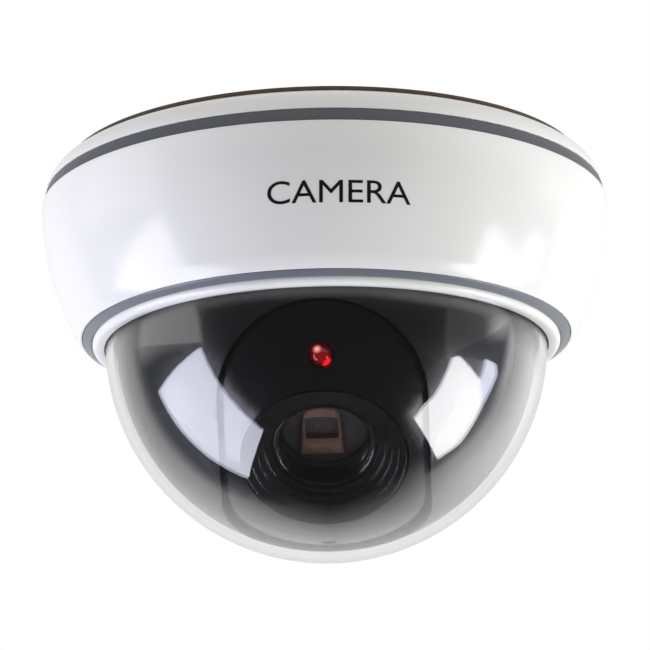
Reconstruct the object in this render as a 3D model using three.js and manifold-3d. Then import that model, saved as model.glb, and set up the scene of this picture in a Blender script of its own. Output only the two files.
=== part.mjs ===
// Ceiling dome camera. A base plate is screwed to the ceiling, and a round cover twists onto it.
// Inside, a turntable pans a black liner and a yoke, and a ball in the yoke tilts the lens.
// Millimetres, +Z up. The origin is the middle of the face that lies against the ceiling, so the
// camera hangs down into -Z. -Y is the side that the lens looks towards.
import * as THREE from 'three';
import { mergeVertices } from 'three/addons/utils/BufferGeometryUtils.js';
import Module from 'manifold-3d';

const wasm = await Module();
wasm.setup();

// ---- Driving dimensions, in millimetres and degrees ----

// Fits
const SNUG = 0.1;              // between concentric rings that do not move
const CLEAR = 0.3;             // round screws, in bores and beside machined faces
const TURN_CLEAR = 0.3;        // between a journal and its bearing

// Cover
const HOUSING_RADIUS = 62.5;   // widest point of the cover
const CEILING_RADIUS = 57.1;   // edge of the cover at the ceiling
const HOUSING_DEPTH = 38;      // from that edge down to the rim around the dome
const WALL = 2.2;
const LIP_RADIUS = 61.7;       // where the rolled lip meets the upper band
const LIP_DEPTH = 5.4;
const LIP_ROLL = 1.4;
const LIP_BEND = 0.8;
const BAND_HEIGHT = 2.9;
const BAND_DEPTH = 0.9;
const BAND_INSET = 0.15;       // the grey bands sit this far below the white surface
const CREASE_HEIGHT = 2.4;     // the cover turns in more steeply this far above its rim
const CREASE_REACH = 1.8;
const RIM_EDGE = 0.4;          // width of the cover's lower edge
const FLOOR = 2;               // thickness of the cover's floor
const FLOOR_RECESS = 0.9;      // from the rim up to the underside of the floor

// Dome and the rings that hold it
const DOME_RADIUS = 48.5;
const DOME_WALL = 1.6;
const DOME_DROP = 0.8;         // from the rim down to the dome's equator
const FLANGE_REACH = 1.6;
const FLANGE_HEIGHT = 1.2;
const RIM_WIDTH = 5.5;         // from the dome out to the cover's lower corner
const BEZEL_WALL = 0.95;
const BEZEL_DEPTH = 2.5;       // from the rim down to the bottom of the white bezel
const BEZEL_ROLL = 1.3;
const TRIM_DROP = 1.1;
const SEAL_SECTION = 0.9;
const HOOK_COUNT = 4;
const HOOK_WIDTH = 7;
const HOOK_BARB = 0.8;
const HOOK_RISE = 1.7;

// Bayonet between cover and base plate
const BAYONET_COUNT = 3;
const TAB_ANGLE = 14;
const LUG_ANGLE = 17;
const LUG_REACH = 2.5;
const TAB_HEIGHT = 2;
const LUG_HEIGHT = 1.8;
const TAB_BELOW_BAND = 1.2;
const STOP_ANGLE = 2;

// Base plate
const GASKET_THICKNESS = 0.8;
const CEILING_GAP = 0.2;       // between the gasket and the cover's edge
const BASE_THICKNESS = 2.5;
const BASE_GAP = 0.6;          // between the base plate and the cover's mouth
const SKIRT_WALL = 1.8;
const MOUNT_CIRCLE = 43;       // radius of the circle that the ceiling screws are on
const MOUNT_HOLE = 2.2;
const CABLE_HOLE = 6;
const GROMMET_BORE = 3.6;
const GROMMET_FLANGE = 1;
const SHOULDER_RADIUS = 11;
const HUB_RADIUS = 9;
const STOP_REACH = 3;
const STOP_WIDTH = 1.6;
const STOP_HEIGHT = 2;
const HUB_BORE = 1.9;
const HUB_BORE_END = 3;        // how far under the base plate the hub's blind bore ends
const GROMMET_LIP = 0.7;
const GROMMET_TAIL = 1.6;

// Screws: radius and height of the head, and radius of the shank
const BOARD_SCREW = { head: 2.2, height: 1.4, shank: 1.1 };
const HUB_SCREW = { head: 4, height: 2, shank: 1.5 };
const YOKE_SCREW = { head: 2.4, height: 1.4, shank: 1.2 };
const LINER_SCREW = { head: 1.8, height: 1.1, shank: 0.9 };
const MODULE_SCREW = { head: 2, height: 1.3, shank: 1 };
const HUB_SCREW_LENGTH = 7;
const YOKE_SCREW_LENGTH = 3.6;
const LINER_SCREW_LENGTH = 2.8;

// Main board
const BOARD_RADIUS = 33;
const BOARD_BORE = 12;
const BOARD_THICKNESS = 1.6;
const BOARD_STANDOFF = 3.1;
const BOARD_SCREW_CIRCLE = 27;
const POST_RADIUS = 3;
const POST_HOLE = 1.4;
const POST_ROOT = 0.5;         // how deep a post is sunk into the base plate
const CAPACITOR_RADIUS = 3;
const CAPACITOR_HEIGHT = 3.1;
const CAPACITOR_PLACE = { circle: 22, angle: 32 };

// Turntable and yoke
const TURNTABLE_TOP = -12;
const TURNTABLE_THICKNESS = 2.2;
const TURNTABLE_GAP = 0.8;     // between the turntable and the inside of the liner
const WASHER_RADIUS = 16;
const WASHER_THICKNESS = 0.6;
const WASHER_GAP = 0.15;
const RETAINER_THICKNESS = 1.5;
const YOKE_THICKNESS = 2.4;
const YOKE_GAP = 0.6;          // between a yoke arm and the side of the ball
const YOKE_WIDTH = 16;
const YOKE_END = 7;            // radius of the arm's round lower end
const FOOT_TO_LIP = 2;         // between a yoke's foot and the liner's lip
const PIVOT_RADIUS = 2.4;
const PIVOT_HEAD = { radius: 4.5, edge: 1.6, top: 3.6, height: 2.2 };
const PIVOT_INSIDE = 1.2;      // how far a pivot reaches into the ball, past its wall
const PEG_RADIUS = 0.9;
const SCREW_SKIN = 0.6;        // of the turntable, above a screw's blind hole
const LINER_SCREW_INSET = 1.6; // from the turntable's edge

// Liner and ball
const LINER_CLEAR = 0.9;       // between the liner and the dome
const LINER_WALL = 0.8;
const LINER_LIP = 4.2;
const LINER_LIP_HEIGHT = 1.4;
const SLOT_WIDTH = 44.2;
const SLOT_TOP_ANGLE = 4.3;    // below the horizontal, at the slot's upper end
const SLOT_END_ANGLE = 102.7;  // the slot runs past the lowest point
const BALL_CLEAR = 0.6;
const BALL_WALL = 1.6;
const BALL_SIDE_GAP = 0.45;    // on each side of the ball, in the slot
const BALL_BOSS = 8;
const TILT_UP = 20;
const TILT_DOWN = 26;
const COVER_MARGIN = 2;        // how far the ball reaches past the slot, in degrees

// Lens and lamp
const LENS_ANGLE = 52;         // below the horizontal, as the camera is set
const HOOD_RADIUS = 17.4;
const HOOD_RIM = 0.4;
const HOOD_STEPS = 5;
const HOOD_DEPTH = 6.4;
const HOOD_WALL = 1.4;
const LENS_RADIUS = 9.5;
const LENS_EDGE = 2;
const LENS_BULGE = 1.5;
const BARREL_RADIUS = 10.9;
const BARREL_WALL = 2.3;
const BARREL_LENGTH = 19.8;
const BARREL_SEAT = 1.2;       // how deep the barrel sits in its holder
const HOLDER_THICKNESS = 3;
const BULKHEAD = 2;
const RING_RADIUS = 13.2;
const RING_LENGTH = 7;
const RING_RIBS = 24;
const WINDOW = 8.4;
const FILTER = 10;
const LED_RADIUS = 2.5;
const LED_FLANGE = 2.9;
const LED_LENGTH = 8.5;
const LED_PROUD = 0.1;
const LED_HOLDER = 4.4;
const LED_FROM_HOOD = 3.2;     // between the hood's rim and the lamp's holder, along the ball
const SENSOR_BOARD = 26;
const SENSOR_SIZE = 11;
const MODULE_SCREW_SPACING = 20;
const BALL_SCREW = { radius: 1.55, height: 0.9, shank: 0.9, length: 5.7 };
const APERTURE_SETBACK = 4;    // behind the lens
const APERTURE_THICKNESS = 1;
const FILTER_THICKNESS = 0.8;
const HOLDER_SIZE = 24;
const LED_BOARD = { width: 9, depth: 7, height: 1.2 };

// Smoothness of the round pieces
const LARGE = 36;
const MEDIUM = 24;
const SMALL = 12;
const DOME_STEPS = 8;          // facets from the lowest point up to the equator
const CURVE_STEPS = 4;
const BOWL_STEPS = 7;
const LENS_STEPS = 6;
const THROUGH = 1;             // how far a cutter passes what it cuts

// ---- Sizes and places worked out from them ----

const rad = THREE.MathUtils.degToRad;
const deg = THREE.MathUtils.radToDeg;

const COVER_TOP = -(GASKET_THICKNESS + CEILING_GAP);
const BAND_TOP = COVER_TOP - LIP_DEPTH;
const BAND_BOTTOM = BAND_TOP - BAND_HEIGHT;
const RIM_Z = COVER_TOP - HOUSING_DEPTH;
const RIM_RADIUS = DOME_RADIUS + RIM_WIDTH;
const DOME_Z = RIM_Z - DOME_DROP;
const FLOOR_UNDER = RIM_Z + FLOOR_RECESS;
const FLOOR_TOP = FLOOR_UNDER + FLOOR;
const FLANGE_RADIUS = DOME_RADIUS + FLANGE_REACH;
const FLANGE_TOP = DOME_Z + FLANGE_HEIGHT;
const BEZEL_INNER = FLANGE_RADIUS + CLEAR;
const BEZEL_OUTER = BEZEL_INNER + BEZEL_WALL;
const HOOK_OUTER = BEZEL_OUTER - 2 * SNUG;
const LINER_RADIUS = DOME_RADIUS - DOME_WALL - LINER_CLEAR;
const LINER_INSIDE = LINER_RADIUS - LINER_WALL;
const OPENING_RADIUS = LINER_RADIUS + 2 * LINER_CLEAR;
const SEAL_RADIUS = DOME_RADIUS + SEAL_SECTION;

const BASE_TOP = -GASKET_THICKNESS;
const BASE_UNDER = BASE_TOP - BASE_THICKNESS;
const BASE_RADIUS = CEILING_RADIUS - WALL - BASE_GAP;
const SKIRT_OUTER = BASE_RADIUS - LUG_REACH;
const SKIRT_INNER = SKIRT_OUTER - SKIRT_WALL;
const TAB_TOP = BAND_BOTTOM - TAB_BELOW_BAND;
const LUG_TOP = TAB_TOP - TAB_HEIGHT - CLEAR;
const LUG_BOTTOM = LUG_TOP - LUG_HEIGHT;
const BOARD_TOP = BASE_UNDER - BOARD_STANDOFF;
const BOARD_UNDER = BOARD_TOP - BOARD_THICKNESS;

const TURNTABLE_UNDER = TURNTABLE_TOP - TURNTABLE_THICKNESS;
const TURNTABLE_RADIUS = LINER_INSIDE - TURNTABLE_GAP;
const BEARING_RADIUS = HUB_RADIUS + TURN_CLEAR;
const WASHER_TOP = TURNTABLE_UNDER - WASHER_GAP;
const RETAINER_TOP = WASHER_TOP - WASHER_THICKNESS - WASHER_GAP;
const RETAINER_UNDER = RETAINER_TOP - RETAINER_THICKNESS;
const HUB_BOTTOM = RETAINER_TOP + WASHER_GAP;
const PLATE_UNDER = TURNTABLE_UNDER - CLEAR;   // top of what is screwed under the turntable

const BALL_RADIUS = LINER_INSIDE - BALL_CLEAR;
const BALL_INSIDE = BALL_RADIUS - BALL_WALL;
const BALL_HALF = SLOT_WIDTH / 2 - BALL_SIDE_GAP;
const YOKE_INNER = BALL_HALF + YOKE_GAP;
const YOKE_OUTER = YOKE_INNER + YOKE_THICKNESS;
const YOKE_FOOT = LINER_INSIDE - LINER_LIP - FOOT_TO_LIP - YOKE_OUTER;
const SLOT_END = deg(Math.asin(Math.min(1, SLOT_WIDTH / 2 / LINER_RADIUS)));

// The ball's upper edge stays under the turntable when the lens is tilted right up.
const HEADROOM = Math.min(1, (TURNTABLE_UNDER - 1 - DOME_Z) / BALL_RADIUS);
const BALL_TOP_ANGLE = Math.max(
  TILT_UP - deg(Math.asin(HEADROOM)),
  SLOT_TOP_ANGLE - TILT_DOWN - COVER_MARGIN,
);
const BALL_END_ANGLE = SLOT_END_ANGLE + TILT_UP + COVER_MARGIN;

const HOOD_MOUTH = Math.sqrt(BALL_RADIUS ** 2 - HOOD_RADIUS ** 2) + HOOD_RIM;
const HOOD_BACK = HOOD_MOUTH - HOOD_DEPTH - 1;
const LENS_FRONT = HOOD_MOUTH - HOOD_DEPTH;
const LENS_BACK = LENS_FRONT - LENS_EDGE;
const HOOD_BORE = LENS_RADIUS + CLEAR;
const BARREL_FRONT = LENS_BACK - CLEAR;
const BARREL_BACK = BARREL_FRONT - BARREL_LENGTH;
const BARREL_BORE = BARREL_RADIUS - BARREL_WALL;
const HOLDER_FRONT = BARREL_BACK + BARREL_SEAT;
const HOLDER_BACK = HOLDER_FRONT - HOLDER_THICKNESS;
const SENSOR_THICKNESS = 1.6;
const SENSOR_BACK = HOLDER_BACK - SENSOR_THICKNESS - CLEAR;
const BOARD_FRONT = SENSOR_BACK - CLEAR;
const HOOD_SPREAD = Math.asin(HOOD_RADIUS / BALL_RADIUS);
const LED_SPREAD = Math.asin(LED_HOLDER / BALL_RADIUS) + LED_FROM_HOOD / BALL_RADIUS;
const LED_ANGLE = LENS_ANGLE - deg(HOOD_SPREAD + LED_SPREAD);
const LED_TIP = BALL_RADIUS + LED_PROUD;
const LED_BACK = LED_TIP - LED_LENGTH;

// ---- Materials ----

const finish = (color, roughness, metalness = 0) => ({ color, roughness, metalness });
const WHITE = finish(0xeeeef0, 0.22);
const GREY = finish(0x6f747c, 0.35);
const BLACK = finish(0x141416, 0.28);
const SATIN_BLACK = finish(0x1c1c1e, 0.55);
const FOAM = finish(0x2b211c, 0.95);
const RUBBER = finish(0x17181a, 0.85);
const BOARD_GREEN = finish(0x12502c, 0.45);
const STEEL = finish(0xb4b7ba, 0.3, 1);
const BRASS = finish(0xb89a52, 0.35, 1);
const IVORY = finish(0xe8e4d4, 0.5);
const BASE_WHITE = finish(0xdfe0e2, 0.5);
const SILICON = finish(0x2a2430, 0.2);
const DULL_STEEL = finish(0x77797d, 0.35, 1);
const BROWN_PLATE = finish(0x4a342a, 0.5);
const FILTER_GLASS = finish(0x3d2f3a, 0.05);
const CLEAR_PLASTIC = { ...finish(0xd6dadf, 0.03), transparent: true, opacity: 0.3 };
const COATED_GLASS = { ...finish(0x30343c, 0.02), transparent: true, opacity: 0.4 };
const RED_EPOXY = { ...finish(0xc21414, 0.08), transparent: true, opacity: 0.8 };

// ---- Solids: joining and cutting ----

// Turns a closed geometry into a solid with shared vertices and its faces outwards.
function solid(geometry) {
  const bare = geometry.clone();
  bare.deleteAttribute('normal');
  bare.deleteAttribute('uv');
  const welded = mergeVertices(bare, 1e-4);
  const position = welded.getAttribute('position');
  const index = welded.getIndex().array;
  const triangles = [];
  for (let i = 0; i < index.length; i += 3) {
    const [a, b, c] = index.slice(i, i + 3);
    if (a !== b && b !== c && c !== a) triangles.push(a, b, c);
  }
  if (signedVolume(position, triangles) < 0) triangles.reverse();
  return new wasm.Manifold(new wasm.Mesh({
    numProp: 3,
    vertProperties: new Float32Array(position.array),
    triVerts: new Uint32Array(triangles),
  }));
}

function signedVolume(position, triangles) {
  const [a, b, c] = [0, 0, 0].map(() => new THREE.Vector3());
  let total = 0;
  for (let i = 0; i < triangles.length; i += 3) {
    a.fromBufferAttribute(position, triangles[i]);
    b.fromBufferAttribute(position, triangles[i + 1]);
    c.fromBufferAttribute(position, triangles[i + 2]);
    total += a.dot(b.cross(c)) / 6;
  }
  return total;
}

function geometryOf(manifold) {
  const mesh = manifold.getMesh();
  const geometry = new THREE.BufferGeometry();
  geometry.setAttribute('position', new THREE.BufferAttribute(mesh.vertProperties, 3));
  geometry.setIndex(new THREE.BufferAttribute(mesh.triVerts, 1));
  geometry.computeVertexNormals();
  return geometry;
}

function join(first, ...others) {
  return others.reduce((sum, other) => sum.add(other), first);
}

function cut(first, ...others) {
  return others.reduce((rest, other) => rest.subtract(other), first);
}

// ---- Shapes ----

// A solid of revolution about Z from [radius, z] pairs. An outline off the axis is closed.
function turned(outline, segments = MEDIUM) {
  const points = outline.map(([radius, z]) => new THREE.Vector2(radius, z));
  const onAxis = outline[0][0] === 0 && outline[outline.length - 1][0] === 0;
  if (!onAxis) points.push(points[0].clone());
  return solid(new THREE.LatheGeometry(points, segments).rotateX(Math.PI / 2));
}

function ring(inner, outer, low, high, segments = MEDIUM) {
  return turned([[inner, low], [outer, low], [outer, high], [inner, high]], segments);
}

function rod(radius, low, high, segments = SMALL) {
  return turned([[0, low], [radius, low], [radius, high], [0, high]], segments);
}

function block(width, depth, height, x = 0, y = 0, z = 0) {
  return solid(new THREE.BoxGeometry(width, depth, height).translate(x, y, z));
}

function plate(shape, low, high, curveSegments = SMALL) {
  const depth = high - low;
  const geometry = new THREE.ExtrudeGeometry(shape, { depth, bevelEnabled: false, curveSegments });
  return solid(geometry.translate(0, 0, low));
}

// A stretch of a ring, centred on an angle about Z.
function sector(inner, outer, low, high, centre, width) {
  const from = rad(centre - width / 2);
  const to = rad(centre + width / 2);
  const shape = new THREE.Shape();
  shape.absarc(0, 0, outer, from, to, false);
  shape.absarc(0, 0, inner, to, from, true);
  shape.closePath();
  return plate(shape, low, high, 6);
}

// Points on a circle about the axis, for an outline; angles are measured from the equator.
function arc(radius, z, from, to, steps) {
  return Array.from({ length: steps + 1 }, (_, i) => {
    const angle = rad(from + (to - from) * i / steps);
    return [radius * Math.cos(angle), z + radius * Math.sin(angle)];
  });
}

function curve(from, pull, to, steps) {
  const bend = new THREE.QuadraticBezierCurve(...[from, pull, to].map((p) => new THREE.Vector2(...p)));
  return bend.getPoints(steps).map((p) => [p.x, p.y]);
}

function around(count, start = 90) {
  return Array.from({ length: count }, (_, i) => start + 360 * i / count);
}

function polar(radius, angle) {
  return [radius * Math.cos(rad(angle)), radius * Math.sin(rad(angle))];
}

// Moves a solid that was made about Z, by turning it and then shifting it.
function placed(manifold, { x = 0, y = 0, z = 0, turnX = 0, turnY = 0, turnZ = 0 }) {
  const matrix = new THREE.Matrix4().makeRotationFromEuler(new THREE.Euler(turnX, turnY, turnZ));
  matrix.setPosition(x, y, z);
  return solid(geometryOf(manifold).applyMatrix4(matrix));
}

// Turns for a plate drawn in its own X and Y, so that its thickness runs along X. ON_EDGE sends its X to
// +Y and its Y to +Z. TOWARDS_LENS sends them to -Y and -Z, so its angles count down from the horizontal.
const ON_EDGE = { turnY: Math.PI / 2, turnZ: Math.PI / 2 };
const TOWARDS_LENS = { turnY: Math.PI / 2, turnZ: -Math.PI / 2 };

// The turn about X that sends +Z to a direction this many degrees below the horizontal, towards -Y.
function aim(angle) {
  return Math.PI / 2 + rad(angle);
}

// A screw about Z with its domed head below z = 0 and its shank above.
function screw({ head, height, shank }, length) {
  return turned([
    [0, -height],
    [head * 0.75, -height],
    [head, -height * 0.6],
    [head, 0],
    [shank, 0],
    [shank, length],
    [0, length],
  ], SMALL);
}

// ---- Sub-parts ----

const camera = new THREE.Group();
const tilting = new THREE.Group();
tilting.position.z = DOME_Z;
camera.add(tilting);
const optics = new THREE.Group();
optics.rotation.x = aim(LENS_ANGLE);
tilting.add(optics);
const lamp = new THREE.Group();
lamp.rotation.x = aim(LED_ANGLE);
tilting.add(lamp);

function add(parent, name, manifold, look, place = {}) {
  const mesh = new THREE.Mesh(geometryOf(manifold), new THREE.MeshStandardMaterial(look));
  mesh.name = name;
  mesh.position.set(place.x ?? 0, place.y ?? 0, place.z ?? 0);
  mesh.rotation.set(place.turnX ?? 0, place.turnY ?? 0, place.turnZ ?? 0);
  parent.add(mesh);
}

// -- Fixed to the ceiling --

const cableHole = [0, MOUNT_CIRCLE];
const mountAngles = around(3, 30);
const postAngles = around(3, 0);

function ceilingGasket() {
  const disc = rod(BASE_RADIUS + WALL + BASE_GAP + CLEAR, BASE_TOP, 0, LARGE);
  const screwHoles = mountAngles.map((angle) => {
    const [x, y] = polar(MOUNT_CIRCLE, angle);
    return placed(rod(MOUNT_HOLE + CLEAR, BASE_TOP - THROUGH, THROUGH), { x, y });
  });
  const openingRadius = CABLE_HOLE + GROMMET_FLANGE + 2 * CLEAR;
  const opening = placed(rod(openingRadius, BASE_TOP - THROUGH, THROUGH), { y: cableHole[1] });
  return cut(disc, opening, ...screwHoles);
}

function basePlate() {
  const body = turned([
    [0, BASE_TOP],
    [BASE_RADIUS, BASE_TOP],
    [BASE_RADIUS, BASE_UNDER],
    [SKIRT_OUTER, BASE_UNDER],
    [SKIRT_OUTER, LUG_BOTTOM],
    [SKIRT_INNER, LUG_BOTTOM],
    [SKIRT_INNER, BASE_UNDER],
    [SHOULDER_RADIUS, BASE_UNDER],
    [SHOULDER_RADIUS, TURNTABLE_TOP + CLEAR],
    [HUB_RADIUS, TURNTABLE_TOP + CLEAR],
    [HUB_RADIUS, HUB_BOTTOM],
    [HUB_BORE, HUB_BOTTOM],
    [HUB_BORE, BASE_UNDER - HUB_BORE_END],
    [0, BASE_UNDER - HUB_BORE_END],
  ], LARGE);
  const root = SKIRT_OUTER - SKIRT_WALL / 2;
  const lugs = around(BAYONET_COUNT).flatMap((angle) => [
    sector(root, BASE_RADIUS, LUG_BOTTOM, LUG_TOP, angle, LUG_ANGLE),
    sector(root, BASE_RADIUS, LUG_BOTTOM, TAB_TOP, angle - LUG_ANGLE / 2, STOP_ANGLE),
  ]);
  const posts = postAngles.map((angle) => {
    const [x, y] = polar(BOARD_SCREW_CIRCLE, angle);
    return placed(rod(POST_RADIUS, BOARD_TOP, BASE_UNDER + POST_ROOT), { x, y });
  });
  const postHoles = postAngles.map((angle) => {
    const [x, y] = polar(BOARD_SCREW_CIRCLE, angle);
    return placed(rod(POST_HOLE, BOARD_TOP - THROUGH, BASE_UNDER + POST_ROOT), { x, y });
  });
  const mountHoles = mountAngles.map((angle) => {
    const [x, y] = polar(MOUNT_CIRCLE, angle);
    return placed(rod(MOUNT_HOLE, BASE_UNDER - THROUGH, BASE_TOP + THROUGH), { x, y });
  });
  const cableOpening = placed(
    rod(CABLE_HOLE, BASE_UNDER - THROUGH, BASE_TOP + THROUGH),
    { y: cableHole[1] },
  );
  const stopInner = SHOULDER_RADIUS - 1;
  const stopDepth = STOP_REACH + 1;
  const stopMiddle = TURNTABLE_TOP + 2 * CLEAR + STOP_HEIGHT / 2;
  const panStop = block(STOP_WIDTH, stopDepth, STOP_HEIGHT, 0, stopInner + stopDepth / 2, stopMiddle);
  return cut(join(body, ...lugs, ...posts, panStop), cableOpening, ...mountHoles, ...postHoles);
}

function cableGrommet() {
  const neck = CABLE_HOLE - CLEAR;
  const flange = CABLE_HOLE + GROMMET_FLANGE;
  return turned([
    [GROMMET_BORE, BASE_TOP + GROMMET_LIP],
    [flange, BASE_TOP + GROMMET_LIP],
    [flange, BASE_TOP + SNUG],
    [neck, BASE_TOP + SNUG],
    [neck, BASE_UNDER - SNUG],
    [flange, BASE_UNDER - SNUG],
    [neck, BASE_UNDER - GROMMET_TAIL],
    [GROMMET_BORE, BASE_UNDER - GROMMET_TAIL],
  ], SMALL);
}

function mainBoard() {
  const disc = ring(BOARD_BORE, BOARD_RADIUS, BOARD_UNDER, BOARD_TOP);
  const holes = postAngles.map((angle) => {
    const [x, y] = polar(BOARD_SCREW_CIRCLE, angle);
    return placed(rod(POST_HOLE, BOARD_UNDER - THROUGH, BOARD_TOP + THROUGH), { x, y });
  });
  return cut(disc, ...holes);
}

add(camera, 'ceiling_gasket', ceilingGasket(), FOAM);
add(camera, 'base_plate', basePlate(), BASE_WHITE);
add(camera, 'cable_grommet', cableGrommet(), RUBBER, { y: cableHole[1] });
add(camera, 'main_board', mainBoard(), BOARD_GREEN);
postAngles.forEach((angle, i) => {
  const [x, y] = polar(BOARD_SCREW_CIRCLE, angle);
  const length = BOARD_THICKNESS + BOARD_STANDOFF - POST_ROOT;
  const z = BOARD_UNDER - SNUG;
  add(camera, `board_screw_${i + 1}`, screw(BOARD_SCREW, length), STEEL, { x, y, z });
});

// What is soldered under the main board: name, width, depth, height, angle, distance from the hub.
const BOARD_PARTS = [
  ['processor_chip', 12, 12, 1.6, 180, 22, SATIN_BLACK],
  ['power_socket', 9, 7, 3.1, 65, 24, IVORY],
  ['video_socket', 11, 7, 3.1, 295, 24, IVORY],
];
for (const [name, width, depth, height, angle, distance, look] of BOARD_PARTS) {
  const [x, y] = polar(distance, angle);
  add(camera, name, block(width, depth, height), look, { x, y, z: BOARD_UNDER - SNUG - height / 2 });
}
const [capacitorX, capacitorY] = polar(CAPACITOR_PLACE.circle, CAPACITOR_PLACE.angle);
add(
  camera, 'filter_capacitor', rod(CAPACITOR_RADIUS, -CAPACITOR_HEIGHT, 0), SILICON,
  { x: capacitorX, y: capacitorY, z: BOARD_UNDER - SNUG },
);

const washerUnder = WASHER_TOP - WASHER_THICKNESS;
add(camera, 'friction_washer', ring(BEARING_RADIUS, WASHER_RADIUS, washerUnder, WASHER_TOP), BRASS);
const retainerBore = HUB_SCREW.shank + CLEAR;
add(camera, 'pan_retainer', ring(retainerBore, WASHER_RADIUS, RETAINER_UNDER, RETAINER_TOP), STEEL);
const hubScrewZ = RETAINER_UNDER - WASHER_GAP;
add(camera, 'hub_screw', screw(HUB_SCREW, HUB_SCREW_LENGTH), STEEL, { z: hubScrewZ });

// -- Cover --

// Outside of the cover from the crease up to the band, as a smooth bowl.
function bowlOutline() {
  const start = new THREE.Vector2(HOUSING_RADIUS, BAND_BOTTOM);
  const end = new THREE.Vector2(RIM_RADIUS + CREASE_REACH, RIM_Z + CREASE_HEIGHT);
  const drop = start.y - end.y;
  const reach = start.x - end.x;
  const bowl = new THREE.CubicBezierCurve(
    start,
    new THREE.Vector2(start.x, start.y - 0.42 * drop),
    new THREE.Vector2(end.x + 0.43 * reach, end.y + 0.24 * drop),
    end,
  );
  return bowl.getPoints(BOWL_STEPS).map((p) => [p.x, p.y]);
}

function coverOutline() {
  const lip = curve(
    [CEILING_RADIUS, COVER_TOP],
    [LIP_RADIUS - LIP_BEND, COVER_TOP - LIP_ROLL],
    [LIP_RADIUS, BAND_TOP],
    CURVE_STEPS,
  );
  const groove = LIP_RADIUS - BAND_DEPTH;
  const bowl = bowlOutline();
  const wallInside = bowl.slice(0, -1).reverse()
    .map(([radius, z]) => [radius - WALL, z])
    .filter(([, z]) => z > FLOOR_TOP + CLEAR);
  const sealHalf = SEAL_SECTION / 2 + SNUG;
  return [
    ...lip,
    [groove, BAND_TOP],
    [groove, BAND_BOTTOM],
    ...bowl,
    [RIM_RADIUS, RIM_Z],
    [RIM_RADIUS - RIM_EDGE, RIM_Z],
    [RIM_RADIUS - RIM_EDGE, FLOOR_UNDER],
    [SEAL_RADIUS + sealHalf, FLOOR_UNDER],
    [SEAL_RADIUS + sealHalf, FLOOR_UNDER + SEAL_SECTION / 2],
    [SEAL_RADIUS - sealHalf, FLOOR_UNDER + SEAL_SECTION / 2],
    [SEAL_RADIUS - sealHalf, FLOOR_UNDER],
    [OPENING_RADIUS, FLOOR_UNDER],
    [OPENING_RADIUS, FLOOR_TOP],
    [RIM_RADIUS - WALL + 0.6, FLOOR_TOP],
    ...wallInside,
    [LIP_RADIUS - WALL, BAND_TOP],
    [CEILING_RADIUS - WALL, COVER_TOP - LIP_ROLL],
    [CEILING_RADIUS - WALL, COVER_TOP],
  ];
}

function hookSector(clearance, low, high) {
  const width = deg(HOOK_WIDTH / BEZEL_OUTER);
  const more = deg(clearance / BEZEL_OUTER) * 2;
  return around(HOOK_COUNT, 45).map((angle) => (
    sector(BEZEL_INNER - clearance, HOOK_OUTER + clearance, low, high, angle, width + more)
  ));
}

function housingShell() {
  const shell = turned(coverOutline(), LARGE);
  const tabOuter = HOUSING_RADIUS - WALL / 2;
  const tabs = around(BAYONET_COUNT).map((angle) => (
    sector(SKIRT_OUTER + 0.5, tabOuter, TAB_TOP - TAB_HEIGHT, TAB_TOP, angle, TAB_ANGLE)
  ));
  return cut(join(shell, ...tabs), ...hookSector(CLEAR, FLOOR_UNDER - 0.2, FLOOR_TOP + 1));
}

function domeBezel() {
  const bottom = RIM_Z - BEZEL_DEPTH;
  const mouth = DOME_RADIUS + 0.25;
  const seat = DOME_Z - SNUG;
  const edge = curve(
    [BEZEL_OUTER - BEZEL_ROLL, bottom],
    [BEZEL_OUTER, bottom],
    [BEZEL_OUTER, bottom + BEZEL_ROLL],
    CURVE_STEPS,
  );
  const body = turned([
    [mouth, bottom],
    ...edge,
    [BEZEL_OUTER, FLOOR_UNDER - SNUG],
    [BEZEL_INNER, FLOOR_UNDER - SNUG],
    [BEZEL_INNER, seat],
    [mouth, seat],
  ], LARGE);
  const hookTop = FLOOR_TOP + HOOK_RISE;
  const hooks = hookSector(0, FLOOR_UNDER - 0.5, hookTop);
  const width = deg(HOOK_WIDTH / BEZEL_OUTER);
  const barbs = around(HOOK_COUNT, 45).map((angle) => (
    sector(BEZEL_INNER, HOOK_OUTER + HOOK_BARB, hookTop - 1.2, hookTop, angle, width)
  ));
  return join(body, ...hooks, ...barbs);
}

function clearDome() {
  const outside = arc(DOME_RADIUS, DOME_Z, -90, 0, DOME_STEPS);
  outside[0][0] = 0;
  const inside = arc(DOME_RADIUS - DOME_WALL, DOME_Z, 0, -90, DOME_STEPS);
  inside[inside.length - 1][0] = 0;
  return turned([
    ...outside,
    [FLANGE_RADIUS, DOME_Z],
    [FLANGE_RADIUS, FLANGE_TOP],
    [DOME_RADIUS - DOME_WALL, FLANGE_TOP],
    ...inside,
  ], LARGE);
}

function upperTrimBand() {
  const outer = LIP_RADIUS - BAND_INSET;
  const inner = LIP_RADIUS - BAND_DEPTH + SNUG;
  const lower = HOUSING_RADIUS - BAND_INSET;
  return turned([
    [inner, BAND_BOTTOM + SNUG],
    [lower, BAND_BOTTOM + SNUG],
    [outer, BAND_TOP - SNUG],
    [inner, BAND_TOP - SNUG],
  ], LARGE);
}

function lowerTrimRing() {
  const outer = RIM_RADIUS - RIM_EDGE - SNUG;
  const inner = BEZEL_OUTER + SNUG;
  const top = FLOOR_UNDER - SNUG;
  return turned([
    [inner, RIM_Z - TRIM_DROP],
    [inner + 0.5, RIM_Z - TRIM_DROP],
    [outer - 0.3, RIM_Z - 0.35],
    [outer, RIM_Z - 0.1],
    [outer, top],
    [inner, top],
  ], LARGE);
}

function domeSeal() {
  const half = SEAL_SECTION / 2;
  const middle = FLANGE_TOP + SNUG + half;
  return turned(arc(half, 0, 0, 300, 5).map(([x, z]) => [SEAL_RADIUS + x, middle + z]), LARGE);
}

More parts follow.
